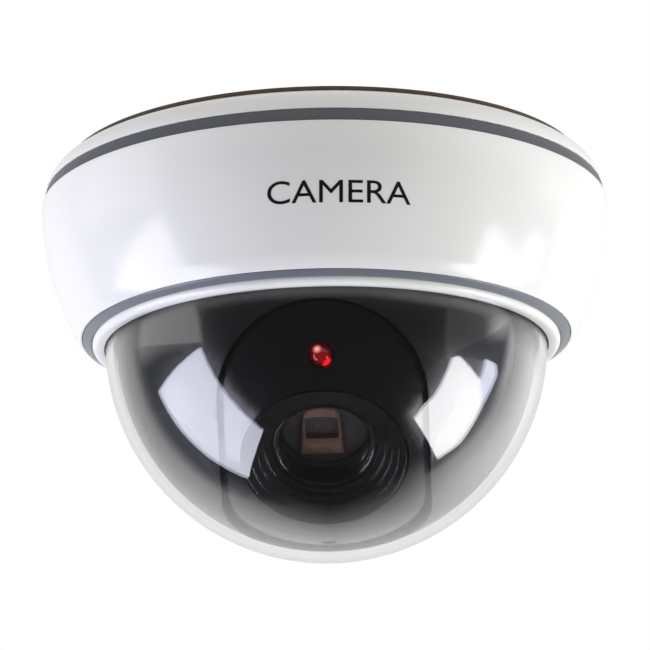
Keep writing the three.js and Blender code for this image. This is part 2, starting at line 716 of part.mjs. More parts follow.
add(camera, 'housing_shell', housingShell(), WHITE);
add(camera, 'upper_trim_band', upperTrimBand(), GREY);
add(camera, 'lower_trim_ring', lowerTrimRing(), GREY);
add(camera, 'dome_bezel', domeBezel(), WHITE);
add(camera, 'dome_seal', domeSeal(), RUBBER);
add(camera, 'clear_dome', clearDome(), CLEAR_PLASTIC);

// -- Turntable, yoke and liner: these pan --

const LINER_SCREW_CIRCLE = TURNTABLE_RADIUS - LINER_SCREW_INSET;
const yokeScrewX = YOKE_OUTER + YOKE_FOOT / 2;
const linerScrewAngles = around(3);

function turntable() {
  const disc = ring(BEARING_RADIUS, TURNTABLE_RADIUS, TURNTABLE_UNDER, TURNTABLE_TOP, LARGE);
  const pegAt = -(SHOULDER_RADIUS + STOP_REACH - 1);
  const peg = placed(
    rod(PEG_RADIUS, TURNTABLE_TOP - 1, TURNTABLE_TOP + STOP_HEIGHT - CLEAR),
    { y: pegAt },
  );
  const holeBottom = TURNTABLE_UNDER - THROUGH;
  const holeTop = TURNTABLE_TOP - SCREW_SKIN;
  const linerHoles = linerScrewAngles.map((angle) => {
    const [x, y] = polar(LINER_SCREW_CIRCLE, angle);
    return placed(rod(LINER_SCREW.shank + CLEAR, holeBottom, holeTop), { x, y });
  });
  const yokeHoles = [-1, 1].map((side) => (
    placed(rod(YOKE_SCREW.shank + CLEAR, holeBottom, holeTop), { x: side * yokeScrewX })
  ));
  return cut(join(disc, peg), ...linerHoles, ...yokeHoles);
}

// The right arm, at +X. The arm's plate is drawn in Y and Z and extruded along X.
function yokeArm() {
  const top = PLATE_UNDER - DOME_Z;
  const half = YOKE_WIDTH / 2;
  const outline = new THREE.Shape();
  outline.moveTo(-half, top);
  outline.lineTo(-YOKE_END, 0);
  outline.absarc(0, 0, YOKE_END, Math.PI, 2 * Math.PI, false);
  outline.lineTo(half, top);
  outline.closePath();
  const upright = placed(plate(outline, 0, YOKE_THICKNESS), { x: YOKE_INNER, z: DOME_Z, ...ON_EDGE });
  const foot = block(
    YOKE_THICKNESS + YOKE_FOOT, YOKE_WIDTH, YOKE_THICKNESS,
    YOKE_INNER + (YOKE_THICKNESS + YOKE_FOOT) / 2, 0, PLATE_UNDER - YOKE_THICKNESS / 2,
  );
  const pivotHole = placed(
    rod(PIVOT_RADIUS + CLEAR, YOKE_INNER - THROUGH, YOKE_OUTER + THROUGH),
    { z: DOME_Z, turnY: Math.PI / 2 },
  );
  const footHole = placed(
    rod(YOKE_SCREW.shank + CLEAR, -YOKE_THICKNESS - THROUGH, THROUGH),
    { x: yokeScrewX, z: PLATE_UNDER },
  );
  return cut(join(upright, foot), pivotHole, footHole);
}

// Everything in front of the slot: a round-ended sweep from the upper end of the slot to its lower end.
function slotCutter() {
  const reach = 2 * LINER_RADIUS;
  const upper = SLOT_TOP_ANGLE + SLOT_END;
  const lower = SLOT_END_ANGLE - SLOT_END;
  const ends = [upper, lower].map((angle) => (
    placed(rod(SLOT_WIDTH / 2, BALL_BOSS, reach, LARGE), { z: DOME_Z, turnX: aim(angle) })
  ));
  return join(...ends, placed(fan(upper, lower, SLOT_WIDTH / 2, reach), { z: DOME_Z }));
}

// A wedge about the X axis between two angles below the horizontal, as wide as 2 * half.
function fan(from, to, half, reach) {
  const shape = new THREE.Shape();
  shape.moveTo(0, 0);
  shape.absarc(0, 0, reach, rad(from), rad(to), false);
  shape.closePath();
  return placed(plate(shape, -half, half, 10), TOWARDS_LENS);
}

function innerLiner() {
  const top = PLATE_UNDER;
  const outside = arc(LINER_RADIUS, DOME_Z, -90, 0, DOME_STEPS);
  outside[0][0] = 0;
  const inside = arc(LINER_INSIDE, DOME_Z, 0, -90, DOME_STEPS);
  inside[inside.length - 1][0] = 0;
  const shell = turned([
    ...outside,
    [LINER_RADIUS, top],
    [LINER_INSIDE - LINER_LIP, top],
    [LINER_INSIDE - LINER_LIP, top - LINER_LIP_HEIGHT],
    [LINER_INSIDE, top - LINER_LIP_HEIGHT],
    ...inside,
  ], LARGE);
  const screwHoles = linerScrewAngles.map((angle) => {
    const [x, y] = polar(LINER_SCREW_CIRCLE, angle);
    const bottom = top - LINER_LIP_HEIGHT - THROUGH;
    return placed(rod(LINER_SCREW.shank + CLEAR, bottom, top + THROUGH), { x, y });
  });
  return cut(shell, slotCutter(), ...screwHoles);
}

add(camera, 'turntable', turntable(), SATIN_BLACK);
add(camera, 'yoke_arm_right', yokeArm(), SATIN_BLACK);
add(camera, 'yoke_arm_left', yokeArm(), SATIN_BLACK, { turnZ: Math.PI });
const yokeScrewZ = PLATE_UNDER - YOKE_THICKNESS - SNUG;
for (const [side, name] of [[1, 'right'], [-1, 'left']]) {
  const place = { x: side * yokeScrewX, z: yokeScrewZ };
  add(camera, `yoke_screw_${name}`, screw(YOKE_SCREW, YOKE_SCREW_LENGTH), STEEL, place);
}
add(camera, 'inner_liner', innerLiner(), BLACK);
linerScrewAngles.forEach((angle, i) => {
  const [x, y] = polar(LINER_SCREW_CIRCLE, angle);
  const z = PLATE_UNDER - LINER_LIP_HEIGHT - SNUG;
  add(camera, `liner_screw_${i + 1}`, screw(LINER_SCREW, LINER_SCREW_LENGTH), STEEL, { x, y, z });
});

// -- Ball, lens and lamp: these tilt --

function ballSide(side) {
  const shape = new THREE.Shape();
  const reach = BALL_RADIUS + 1;
  const [from, to] = [rad(BALL_TOP_ANGLE), rad(BALL_END_ANGLE)];
  const lean = Math.acos(BALL_BOSS / reach);
  shape.absarc(0, 0, reach, from, to, false);
  shape.absarc(0, 0, BALL_BOSS, to + lean, from - lean + 2 * Math.PI, false);
  shape.closePath();
  const low = side > 0 ? BALL_HALF - BALL_WALL : -BALL_HALF;
  const upright = plate(shape, low, low + BALL_WALL);
  return placed(upright, TOWARDS_LENS);
}

function moduleScrewSpots() {
  const half = MODULE_SCREW_SPACING / 2;
  return [[half, half], [-half, -half]];
}

function cameraBall() {
  const outer = deg(Math.asin(BALL_HALF / BALL_RADIUS));
  const inner = deg(Math.asin(BALL_HALF / BALL_INSIDE));
  const band = placed(turned([
    ...arc(BALL_RADIUS, 0, -outer, outer, DOME_STEPS),
    ...arc(BALL_INSIDE, 0, inner, -inner, DOME_STEPS),
  ], LARGE), { turnY: Math.PI / 2 });
  const wedge = fan(BALL_TOP_ANGLE, BALL_END_ANGLE, BALL_HALF + THROUGH, 2 * BALL_RADIUS);
  const shell = band.intersect(wedge);
  const globe = solid(new THREE.SphereGeometry(BALL_RADIUS - 0.2, LARGE, MEDIUM));
  const sides = [1, -1].map((side) => ballSide(side).intersect(globe));
  const bulkheadBack = HOLDER_FRONT + CLEAR;
  const span = 2 * (BALL_HALF - BALL_WALL / 2);
  const bulkhead = placed(
    block(span, SENSOR_BOARD + 1, BULKHEAD, 0, 0, bulkheadBack + BULKHEAD / 2),
    { turnX: aim(LENS_ANGLE) },
  );
  const toLens = { turnX: aim(LENS_ANGLE) };
  const toLamp = { turnX: aim(LED_ANGLE) };
  const outside = 2 * BALL_RADIUS;
  const hoodHole = placed(rod(HOOD_RADIUS + CLEAR, BARREL_FRONT, outside, MEDIUM), toLens);
  const barrelHole = placed(rod(BARREL_RADIUS + CLEAR, 1, BALL_RADIUS, MEDIUM), toLens);
  const lampHole = placed(rod(LED_RADIUS + CLEAR, BALL_RADIUS / 2, outside), toLamp);
  const pivotHole = placed(rod(PIVOT_RADIUS + CLEAR, -BALL_RADIUS, BALL_RADIUS), { turnY: Math.PI / 2 });
  const moduleHoles = moduleScrewSpots().map(([x, y]) => placed(
    placed(rod(MODULE_SCREW.shank + CLEAR, HOLDER_BACK, bulkheadBack + BULKHEAD + THROUGH), { x, y }),
    toLens,
  ));
  const screwHole = rod(BALL_SCREW.radius + CLEAR, -outside, -BALL_INSIDE / 2);
  return cut(
    join(shell, ...sides, bulkhead),
    hoodHole, barrelHole, lampHole, pivotHole, screwHole, ...moduleHoles,
  );
}

// A funnel whose inside goes down in steps, so that stray light does not reach the lens.
function lensHood() {
  const rise = (HOOD_MOUTH - LENS_FRONT) / (HOOD_STEPS + 1);
  const tread = (HOOD_RADIUS - HOOD_RIM - HOOD_BORE) / HOOD_STEPS;
  const steps = [];
  for (let i = HOOD_STEPS; i > 0; i -= 1) {
    const radius = HOOD_BORE + i * tread;
    steps.push([radius, LENS_FRONT + (i + 1) * rise], [radius, LENS_FRONT + i * rise]);
  }
  const neck = HOOD_BORE + HOOD_WALL;
  return turned([
    [HOOD_BORE, LENS_BACK],
    [neck, LENS_BACK],
    [neck, HOOD_BACK + 1],
    [HOOD_RADIUS, HOOD_MOUTH - 1.4],
    [HOOD_RADIUS, HOOD_MOUTH],
    ...steps,
    [HOOD_BORE, LENS_FRONT + rise],
  ], MEDIUM);
}

function frontLens() {
  const crown = LENS_FRONT + LENS_BULGE;
  const bulge = curve([0, crown], [LENS_RADIUS * 0.6, crown], [LENS_RADIUS, LENS_FRONT], LENS_STEPS);
  return turned([
    ...bulge,
    [LENS_RADIUS, LENS_BACK],
    [0, LENS_BACK],
  ], MEDIUM);
}

function focusRing() {
  const outline = new THREE.Shape();
  for (let i = 0; i < RING_RIBS * 2; i += 1) {
    const radius = i % 2 ? RING_RADIUS : RING_RADIUS - 0.5;
    const [x, y] = polar(radius, i * 180 / RING_RIBS);
    if (i === 0) outline.moveTo(x, y);
    else outline.lineTo(x, y);
  }
  outline.closePath();
  const middle = HOLDER_FRONT + BULKHEAD + 3;
  const body = plate(outline, middle, middle + RING_LENGTH);
  return cut(body, rod(BARREL_RADIUS + CLEAR, 0, BALL_RADIUS, MEDIUM));
}

function aperturePlate() {
  const front = LENS_BACK - APERTURE_SETBACK;
  return cut(
    rod(BARREL_BORE - CLEAR, front - APERTURE_THICKNESS, front, MEDIUM),
    block(WINDOW, WINDOW, 4 * APERTURE_THICKNESS, 0, 0, front),
  );
}

function lensHolder() {
  const middle = (HOLDER_FRONT + HOLDER_BACK) / 2;
  const body = block(HOLDER_SIZE, HOLDER_SIZE, HOLDER_THICKNESS, 0, 0, middle);
  const bore = rod(BARREL_RADIUS + CLEAR, BARREL_BACK - CLEAR, HOLDER_FRONT + THROUGH, MEDIUM);
  const window = block(WINDOW, WINDOW, 3 * HOLDER_THICKNESS, 0, 0, HOLDER_BACK);
  const holes = moduleScrewSpots().map(([x, y]) => (
    placed(rod(MODULE_SCREW.shank + CLEAR, HOLDER_BACK - THROUGH, HOLDER_FRONT + THROUGH), { x, y })
  ));
  return cut(body, bore, window, ...holes);
}

function sensorBoard() {
  const back = BOARD_FRONT - BOARD_THICKNESS;
  const middle = (BOARD_FRONT + back) / 2;
  const body = block(SENSOR_BOARD, SENSOR_BOARD, BOARD_THICKNESS, 0, 0, middle);
  const holes = moduleScrewSpots().map(([x, y]) => (
    placed(rod(MODULE_SCREW.shank + CLEAR, back - THROUGH, BOARD_FRONT + THROUGH), { x, y })
  ));
  return cut(body, ...holes);
}

function statusLamp() {
  const shoulder = LED_TIP - LED_RADIUS;
  const roundTop = arc(LED_RADIUS, shoulder, 90, 0, 6);
  roundTop[0][0] = 0;
  return turned([
    ...roundTop,
    [LED_RADIUS, LED_BACK + 1],
    [LED_FLANGE, LED_BACK + 1],
    [LED_FLANGE, LED_BACK],
    [0, LED_BACK],
  ], SMALL);
}

// A shouldered screw about Z, pointing to -Z, with its head outside the yoke.
function pivotScrew() {
  const tip = BALL_HALF - BALL_WALL - PIVOT_INSIDE;
  const seat = YOKE_OUTER + CLEAR;
  return turned([
    [0, tip],
    [PIVOT_RADIUS, tip],
    [PIVOT_RADIUS, seat],
    [PIVOT_HEAD.radius, seat],
    [PIVOT_HEAD.radius, seat + PIVOT_HEAD.edge],
    [PIVOT_HEAD.top, seat + PIVOT_HEAD.height],
    [0, seat + PIVOT_HEAD.height],
  ], SMALL);
}

add(tilting, 'camera_ball', cameraBall(), BLACK);
const headUnder = -BALL_RADIUS + CLEAR;
const ballScrew = turned([
  [0, headUnder],
  [BALL_SCREW.radius, headUnder],
  [BALL_SCREW.radius, headUnder + BALL_SCREW.height],
  [BALL_SCREW.shank, headUnder + BALL_SCREW.height],
  [BALL_SCREW.shank, headUnder + BALL_SCREW.length],
  [0, headUnder + BALL_SCREW.length],
], SMALL);
add(tilting, 'ball_screw', ballScrew, DULL_STEEL);
add(tilting, 'pivot_screw_right', pivotScrew(), STEEL, { turnY: Math.PI / 2 });
add(tilting, 'pivot_screw_left', pivotScrew(), STEEL, { turnY: -Math.PI / 2 });

add(optics, 'lens_hood', lensHood(), SATIN_BLACK);
add(optics, 'front_lens', frontLens(), COATED_GLASS);
add(optics, 'lens_barrel', ring(BARREL_BORE, BARREL_RADIUS, BARREL_BACK, BARREL_FRONT), SATIN_BLACK);
add(optics, 'focus_ring', focusRing(), BLACK);
add(optics, 'aperture_plate', aperturePlate(), BROWN_PLATE);
const filterFront = LENS_BACK - APERTURE_SETBACK - APERTURE_THICKNESS - CLEAR;
const filterMiddle = filterFront - FILTER_THICKNESS / 2;
add(optics, 'ir_filter', block(FILTER, FILTER, FILTER_THICKNESS, 0, 0, filterMiddle), FILTER_GLASS);
add(optics, 'lens_holder', lensHolder(), SATIN_BLACK);
const sensorMiddle = SENSOR_BACK + SENSOR_THICKNESS / 2;
add(optics, 'image_sensor', block(SENSOR_SIZE, SENSOR_SIZE, SENSOR_THICKNESS, 0, 0, sensorMiddle), SILICON);
add(optics, 'sensor_board', sensorBoard(), BOARD_GREEN);
moduleScrewSpots().forEach(([x, y], i) => {
  const length = BOARD_THICKNESS + SENSOR_THICKNESS + HOLDER_THICKNESS + BULKHEAD;
  const z = BOARD_FRONT - BOARD_THICKNESS - SNUG;
  add(optics, `module_screw_${i + 1}`, screw(MODULE_SCREW, length), STEEL, { x, y, z });
});

add(lamp, 'status_led', statusLamp(), RED_EPOXY);
const cupBack = LED_BACK + 1 + CLEAR;
const cupFront = BALL_INSIDE - 3 * CLEAR;
add(lamp, 'led_holder', ring(LED_RADIUS + CLEAR, LED_HOLDER, cupBack, cupFront, SMALL), SATIN_BLACK);
const ledBoardMiddle = LED_BACK - SNUG - CLEAR - LED_BOARD.height / 2;
const ledBoard = block(LED_BOARD.width, LED_BOARD.depth, LED_BOARD.height, 0, 0, ledBoardMiddle);
add(lamp, 'led_board', ledBoard, BOARD_GREEN);

export default camera;
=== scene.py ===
# %% [markdown]
# # A dome camera for a ceiling
# This lesson dresses a dome camera that already exists as engineering parts. The parts, their joints
# and their sizes come from a imported model called the frame. Here we add what the eye judges: fine
# curved surfaces, real plastics and glass, soft studio light and a camera.
#
# First the frame is loaded. Every length in Blender is in metres, and the origin is the middle of
# the face that lies against the ceiling, so the camera hangs down into -Z and looks towards -Y.
# Nothing we add may grow past it.

# %% Load the frame
import math

import bmesh
import bpy
from mathutils import Matrix, Vector
from mathutils.geometry import interpolate_bezier


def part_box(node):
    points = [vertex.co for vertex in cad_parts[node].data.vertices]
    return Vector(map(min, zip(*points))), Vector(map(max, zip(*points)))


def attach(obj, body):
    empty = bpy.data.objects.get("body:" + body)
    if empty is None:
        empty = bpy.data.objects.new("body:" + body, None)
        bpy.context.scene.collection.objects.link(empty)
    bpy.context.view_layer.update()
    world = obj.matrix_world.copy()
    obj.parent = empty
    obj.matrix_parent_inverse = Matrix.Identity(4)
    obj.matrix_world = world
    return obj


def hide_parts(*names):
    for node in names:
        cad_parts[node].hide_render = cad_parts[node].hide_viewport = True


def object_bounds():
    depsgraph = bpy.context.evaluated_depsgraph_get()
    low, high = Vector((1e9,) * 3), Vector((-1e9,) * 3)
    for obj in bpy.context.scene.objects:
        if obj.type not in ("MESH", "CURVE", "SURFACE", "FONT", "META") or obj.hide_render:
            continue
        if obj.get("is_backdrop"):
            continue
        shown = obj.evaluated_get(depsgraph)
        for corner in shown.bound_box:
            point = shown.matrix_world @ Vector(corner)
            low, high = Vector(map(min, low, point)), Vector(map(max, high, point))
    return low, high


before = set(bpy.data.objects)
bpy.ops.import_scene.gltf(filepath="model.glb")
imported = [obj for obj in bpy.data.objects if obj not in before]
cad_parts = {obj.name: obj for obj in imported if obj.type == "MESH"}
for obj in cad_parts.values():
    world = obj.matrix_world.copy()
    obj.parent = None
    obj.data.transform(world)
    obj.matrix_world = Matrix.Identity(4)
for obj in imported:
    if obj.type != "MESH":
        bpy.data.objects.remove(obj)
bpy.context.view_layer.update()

MM = 0.001

# %% [markdown]
# ## Where we look from
# A dome camera is nearly always seen from below, across a room. The view looks up at about sixteen
# degrees and a little from the right. A long lens from about a metre away keeps the round cover
# from bulging, as in a catalogue picture. The camera also leans by less than one degree.
#
# The camera could be turned with angles, but building its three axes from the line of sight is
# easier to read: Z points back at us, X runs to the right, and Y is what is left.

# %% The camera
VIEW_BELOW = math.radians(16.14)
VIEW_RIGHT = math.radians(1.7)
VIEW_DISTANCE = 1.0
VIEW_LEAN = math.radians(-0.85)
VIEW_HEIGHT = -36 * MM            # the level that the lens is aimed at

towards_us = Vector((
    math.sin(VIEW_RIGHT) * math.cos(VIEW_BELOW),
    -math.cos(VIEW_RIGHT) * math.cos(VIEW_BELOW),
    -math.sin(VIEW_BELOW),
))
rightwards = Vector((0, 0, 1)).cross(towards_us).normalized()
upwards = towards_us.cross(rightwards)
facing = Matrix((rightwards, upwards, towards_us)).transposed().to_4x4()

camera_data = bpy.data.cameras.new("studio_camera")
camera_data.sensor_width = 36
camera_data.lens = 251.9
camera_data.shift_x = -0.0018
camera_data.shift_y = 0.0014
camera = bpy.data.objects.new("studio_camera", camera_data)
place = Matrix.Translation(Vector((0, 0, VIEW_HEIGHT)) + VIEW_DISTANCE * towards_us)
camera.matrix_world = place @ facing @ Matrix.Rotation(VIEW_LEAN, 4, "Z")
bpy.context.scene.collection.objects.link(camera)
bpy.context.scene.camera = camera
print("the camera stands at", [round(value, 3) for value in camera.matrix_world.translation])

# %% [markdown]
# ## Colours
# Screens store colours in the sRGB scale, but a shader works with linear light. One function turns
# a hex value into what the shader needs. The Standard view keeps white walls white.

# %% Colour helper
bpy.context.scene.view_settings.view_transform = "Standard"


def linear(hex_value):
    """A colour like "#E8E8E6" as linear red, green, blue and alpha."""
    shares = [int(hex_value[i:i + 2], 16) / 255 for i in (1, 3, 5)]
    return [s / 12.92 if s <= 0.04045 else ((s + 0.055) / 1.055) ** 2.4 for s in shares] + [1.0]


print("mid grey is", [round(value, 3) for value in linear("#808080")[:3]], "in linear light")

# %% [markdown]
# ## One small tool for shader nodes
# A material is a graph of nodes. This helper makes one node, sets its options and input values,
# and links its inputs, so that each material below reads as a short list of ingredients.

# %% Node helper


def add_node(tree, kind, options=None, values=None, links=None):
    """One node: options are its own settings, values fill its inputs, links join them to outputs."""
    made = tree.nodes.new("ShaderNode" + kind)
    for key, option in (options or {}).items():
        setattr(made, key, option)
    for key, value in (values or {}).items():
        made.inputs[key].default_value = value
    for key, source in (links or {}).items():
        tree.links.new(source, made.inputs[key])
    return made


# %% [markdown]
# ## The studio
# White plastic needs a bright room, but a black ball behind a clear dome only looks deep if there
# is something dark in front of it to mirror. A photographer hangs a dark cloth round the lens and
# below it. The world here does the same: it is bright overhead, behind, at the two sides and low
# down at the back, brighter to the right, and dark in front. Soft steps on a direction's parts say
# where each begins. The steps and the sums that join them stand in two lists, read by two loops.
# Rays that go straight from the camera to the background meet plain white.

# %% World light
ROOM_LIGHT = 0.9                  # at the level of the horizon
OVERHEAD = -0.1                   # change from there to straight above
LOW_BACK = 0.65                   # more from straight below, behind the cloth
SIDE_WALLS = 1.25                 # share of the room's light that the side walls give
LEFT_SIDE = 0.72                  # share of the light that comes from high on the left
RIGHT_WINDOW = 0.9                # share more from low on the right, where the window is
CLOTH = 0.04
SIDE_SHARE = 0.35                 # how much a side direction counts as lying behind

world = bpy.data.worlds.new("studio_room")
bpy.context.scene.world = world
world.use_nodes = True
room = world.node_tree
room.nodes.clear()
direction = add_node(room, "TexCoord")
parts = add_node(room, "SeparateXYZ", None, None, {"Vector": direction.outputs["Generated"]})
sideways = add_node(room, "Math", {"operation": "ABSOLUTE"}, None, {0: parts.outputs["X"]})
backwards = add_node(
    room, "Math", {"operation": "MULTIPLY_ADD"}, {1: SIDE_SHARE},
    {0: sideways.outputs["Value"], 2: parts.outputs["Y"]},
)
found = {axis: parts.outputs[axis] for axis in "XYZ"}
found["backwards"] = backwards.outputs["Value"]

# A soft step reads one measure. As that goes from start to end, the result goes from low to high.
SOFT_STEPS = [
    # result, measure, start, end, low, high
    ("behind", "backwards", 0.25, 1.05, 0.0, 1.0),
    ("high_up", "Z", 0.10, 0.24, 0.0, 1.0),
    ("low_down", "Z", 0.10, 0.24, 1.0, 0.0),
    ("left_share", "X", -0.8, -0.2, LEFT_SIDE, 1.0),
    ("left_wall", "X", -0.93, -0.9, SIDE_WALLS, 0.0),
    ("right_wall", "X", 0.86, 0.92, 0.0, SIDE_WALLS),
    ("far_right", "X", 0.8, 0.9, 0.0, 1.0),
    ("in_front", "Y", 0.0, 0.25, 1.1, 0.0),
    ("light_up", "Z", 0.1, 1.0, ROOM_LIGHT, ROOM_LIGHT + OVERHEAD),
    ("light_down", "Z", -0.1, -0.9, 0.0, LOW_BACK),
    ("window", "X", 0.35, 0.75, 0.0, RIGHT_WINDOW),
]
for name, measure, start, end, low, high in SOFT_STEPS:
    found[name] = add_node(
        room, "MapRange", {"interpolation_type": "SMOOTHSTEP"},
        {"From Min": start, "From Max": end, "To Min": low, "To Max": high}, {"Value": found[measure]},
    ).outputs["Result"]

# The sums join the steps: a word stands for an earlier result, and a number for itself.
SUMS = [
    ("above", "MULTIPLY", "high_up", "left_share"),
    ("dark_corner", "MULTIPLY", "far_right", "in_front"),
    ("open_right", "SUBTRACT", "right_wall", "dark_corner"),
    ("walls", "MAXIMUM", "left_wall", "open_right"),
    ("sky", "MAXIMUM", "behind", "above"),
    ("open_room", "MAXIMUM", "sky", "walls"),
    ("brightness", "ADD", "light_up", "light_down"),
    ("room_light", "MULTIPLY", "open_room", "brightness"),
    ("window_share", "MULTIPLY_ADD", "low_down", "window", 1.0),
    ("room_and_window", "MULTIPLY", "room_light", "window_share"),
    ("strength", "MAXIMUM", "room_and_window", CLOTH),
]
for name, operation, *terms in SUMS:
    numbers = {i: term for i, term in enumerate(terms) if not isinstance(term, str)}
    earlier = {i: found[term] for i, term in enumerate(terms) if isinstance(term, str)}
    found[name] = add_node(room, "Math", {"operation": operation}, numbers, earlier).outputs["Value"]
lit = add_node(room, "Background", None, {"Color": linear("#FDFCFA")}, {"Strength": found["strength"]})
seen = add_node(room, "Background", None, {"Color": (1, 1, 1, 1), "Strength": 1.0})
ray = add_node(room, "LightPath")
chosen = add_node(
    room, "MixShader", None, None,
    {"Fac": ray.outputs["Is Camera Ray"], 1: lit.outputs["Background"], 2: seen.outputs["Background"]},
)
add_node(room, "OutputWorld", None, None, {"Surface": chosen.outputs["Shader"]})
print("the room shines at", ROOM_LIGHT, "and the dark cloth at", CLOTH, "in", len(SOFT_STEPS), "steps")

# %% [markdown]
# ## Two softboxes
# The two bright windows in the dome are softboxes, one low on each side. Each is a flat panel that
# glows. Its corners were worked out by following lines of sight off the round dome, so that each
# reflection has the right outline. The right one has a corner folded away, and a paler strip.
# The camera doesn't see the panels, only what they light and what mirrors them.

# %% Softboxes


def glowing(name, strength, tint):
    """A material that only gives off light, as the cloth of a softbox does."""
    made = bpy.data.materials.new(name)
    made.use_nodes = True
    made.node_tree.nodes.clear()
    lamp = add_node(made.node_tree, "Emission", None, {"Color": linear(tint), "Strength": strength})
    add_node(made.node_tree, "OutputMaterial", None, None, {"Surface": lamp.outputs["Emission"]})
    return made


def place_mesh(name, bm, material=None):
    """Gives a mesh an object in the scene."""
    mesh = bpy.data.meshes.new(name)
    bm.to_mesh(mesh)
    bm.free()
    if material:
        mesh.materials.append(material)
    made = bpy.data.objects.new(name, mesh)
    bpy.context.scene.collection.objects.link(made)
    return made


def stage_object(name, bm, material):
    """Puts a mesh in the studio; it isn't part of the camera we build."""
    made = place_mesh(name, bm, material)
    made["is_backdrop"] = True
    return made


def softbox(name, corners, strength, tint):
    """A flat glowing panel from its corners in millimetres."""
    bm = bmesh.new()
    turn = Matrix.Rotation(VIEW_RIGHT, 3, "Z")
    bm.faces.new([bm.verts.new(turn @ (Vector(corner) * MM)) for corner in corners])
    panel = stage_object(name, bm, glowing(name + "_cloth", strength, tint))
    panel.visible_camera = False
    print(name, "glows at", strength)


LEFT_CORNERS = [(-737, -303, -142), (-755, 193, -203), (-410, 141, -717), (-392, -282, -671)]
RIGHT_CORNERS = [
    (721, -272, -220), (739, -219, -191), (727, 21, -232), (693, 141, -304), (603, 180, -476),
    (536, 151, -601), (523, -248, -597), (565, -265, -516), (613, -249, -428),
]
RIGHT_STRIP = [(727, 21, -232), (780, 15, -131), (791, 129, -119), (775, 167, -152), (693, 141, -304)]
softbox("softbox_left", LEFT_CORNERS, 5.6, "#EEEEFF")
softbox("softbox_right", RIGHT_CORNERS, 6.8, "#FFFFFF")
softbox("softbox_strip", RIGHT_STRIP, 5.6, "#ECECFF")

# %% [markdown]
# ## Black skirts
# A softbox has a black skirt, and it gives the dark band that hugs each reflection. Here it is a
# ring round the panel that fades from nearly black to nothing, by a number stored on its corners.

# %% Skirts
SKIRT_GLOW = 0.12                 # cloth is never quite black
SKIRT_BEHIND = 1.01               # the skirt hangs just behind its panel
SKIRT_RINGS = ((0.0, 1.0), (0.45, 1.0), (1.0, 0.0))    # how far out, and how black


def fading_black(name):
    """Dark cloth that fades out as the number "black" on the mesh goes from 1 to 0."""
    made = bpy.data.materials.new(name)
    made.use_nodes = True
    tree = made.node_tree
    tree.nodes.clear()
    share = add_node(tree, "Attribute", {"attribute_name": "black"})
    cloth = add_node(tree, "Emission", None, {"Color": linear("#C9D2E4"), "Strength": SKIRT_GLOW})
    nothing = add_node(tree, "BsdfTransparent")
    mixed = add_node(
        tree, "MixShader", None, None,
        {"Fac": share.outputs["Fac"], 1: nothing.outputs["BSDF"], 2: cloth.outputs["Emission"]},
    )
    add_node(tree, "OutputMaterial", None, None, {"Surface": mixed.outputs["Shader"]})
    return made


def skirt(name, corners, reach):
    """A ring round a panel, black for the first part of its way out. Reach is one share a corner."""
    bm = bmesh.new()
    black = bm.verts.layers.float.new("black")
    turn = Matrix.Rotation(VIEW_RIGHT, 3, "Z")
    points = [Vector(corner) for corner in corners]
    middle = sum(points, Vector()) / len(points)
    rings = []
    for share, value in SKIRT_RINGS:
        ring_verts = []
        for point, grow in zip(points, reach):
            spot = middle + (point - middle) * (1 + share * grow)
            vert = bm.verts.new(turn @ (spot * SKIRT_BEHIND * MM))
            vert[black] = value
            ring_verts.append(vert)
        rings.append(ring_verts)
    for inner, outer in zip(rings, rings[1:]):
        for i in range(len(points)):
            j = (i + 1) % len(points)
            bm.faces.new((inner[i], inner[j], outer[j], outer[i]))
    cloth = stage_object(name, bm, fading_black(name + "_cloth"))
    cloth.visible_camera = False
    cloth.visible_diffuse = False
    cloth.visible_shadow = False
    print(name, "hangs round a panel with", len(points), "corners")


RIGHT_FRAME = [(740, -259, -199), (791, 129, -119), (537, 159, -611), (515, -249, -599)]
skirt("skirt_left", LEFT_CORNERS, (0.1, 1.3, 1.3, 0.2))
skirt("skirt_right", RIGHT_FRAME, (0.1, 1.15, 0.4, 0.15))

# %% [markdown]
# ## A lamp in front
# A large soft lamp low in front fills in the white cover. Mirrors and clear plastic can't see it.

# %% Fill lamp
FILL_SIZE = 1.3                   # metres across
FILL_POWER = 6.2                  # watts
FILL_PLACE = Vector((0.7, -1.4, -0.8))

fill = bpy.data.lights.new("front_fill", "AREA")
fill.shape = "DISK"
fill.size = FILL_SIZE
fill.energy = FILL_POWER
fill_lamp = bpy.data.objects.new("front_fill", fill)
fill_turn = FILL_PLACE.to_track_quat("Z", "Y").to_matrix().to_4x4()
fill_lamp.matrix_world = Matrix.Translation(FILL_PLACE) @ fill_turn
fill_lamp.visible_glossy = False
fill_lamp.visible_transmission = False
fill_lamp.visible_camera = False
bpy.context.scene.collection.objects.link(fill_lamp)
print("the fill lamp is", FILL_SIZE, "m across and gives", FILL_POWER, "W")

# %% [markdown]
# ## The floor
# Pale paper lies well below, and only the camera sees it, so it doesn't undo the dark cloth.

# %% Floor
FLOOR_LEVEL = -1.5
FLOOR_HALF = 300.0

bm = bmesh.new()
bmesh.ops.create_grid(bm, x_segments=8, y_segments=8, size=FLOOR_HALF)
bmesh.ops.translate(bm, verts=bm.verts, vec=(0, 0, FLOOR_LEVEL))
paper = bpy.data.materials.new("floor_paper")
paper.use_nodes = True
paper.node_tree.nodes["Principled BSDF"].inputs["Base Color"].default_value = linear("#F4F4F2")
paper.node_tree.nodes["Principled BSDF"].inputs["Roughness"].default_value = 0.9
floor = stage_object("studio_floor", bm, paper)
floor.visible_glossy = False
floor.visible_diffuse = False
floor.visible_transmission = False
print("the floor lies at", FLOOR_LEVEL, "m")

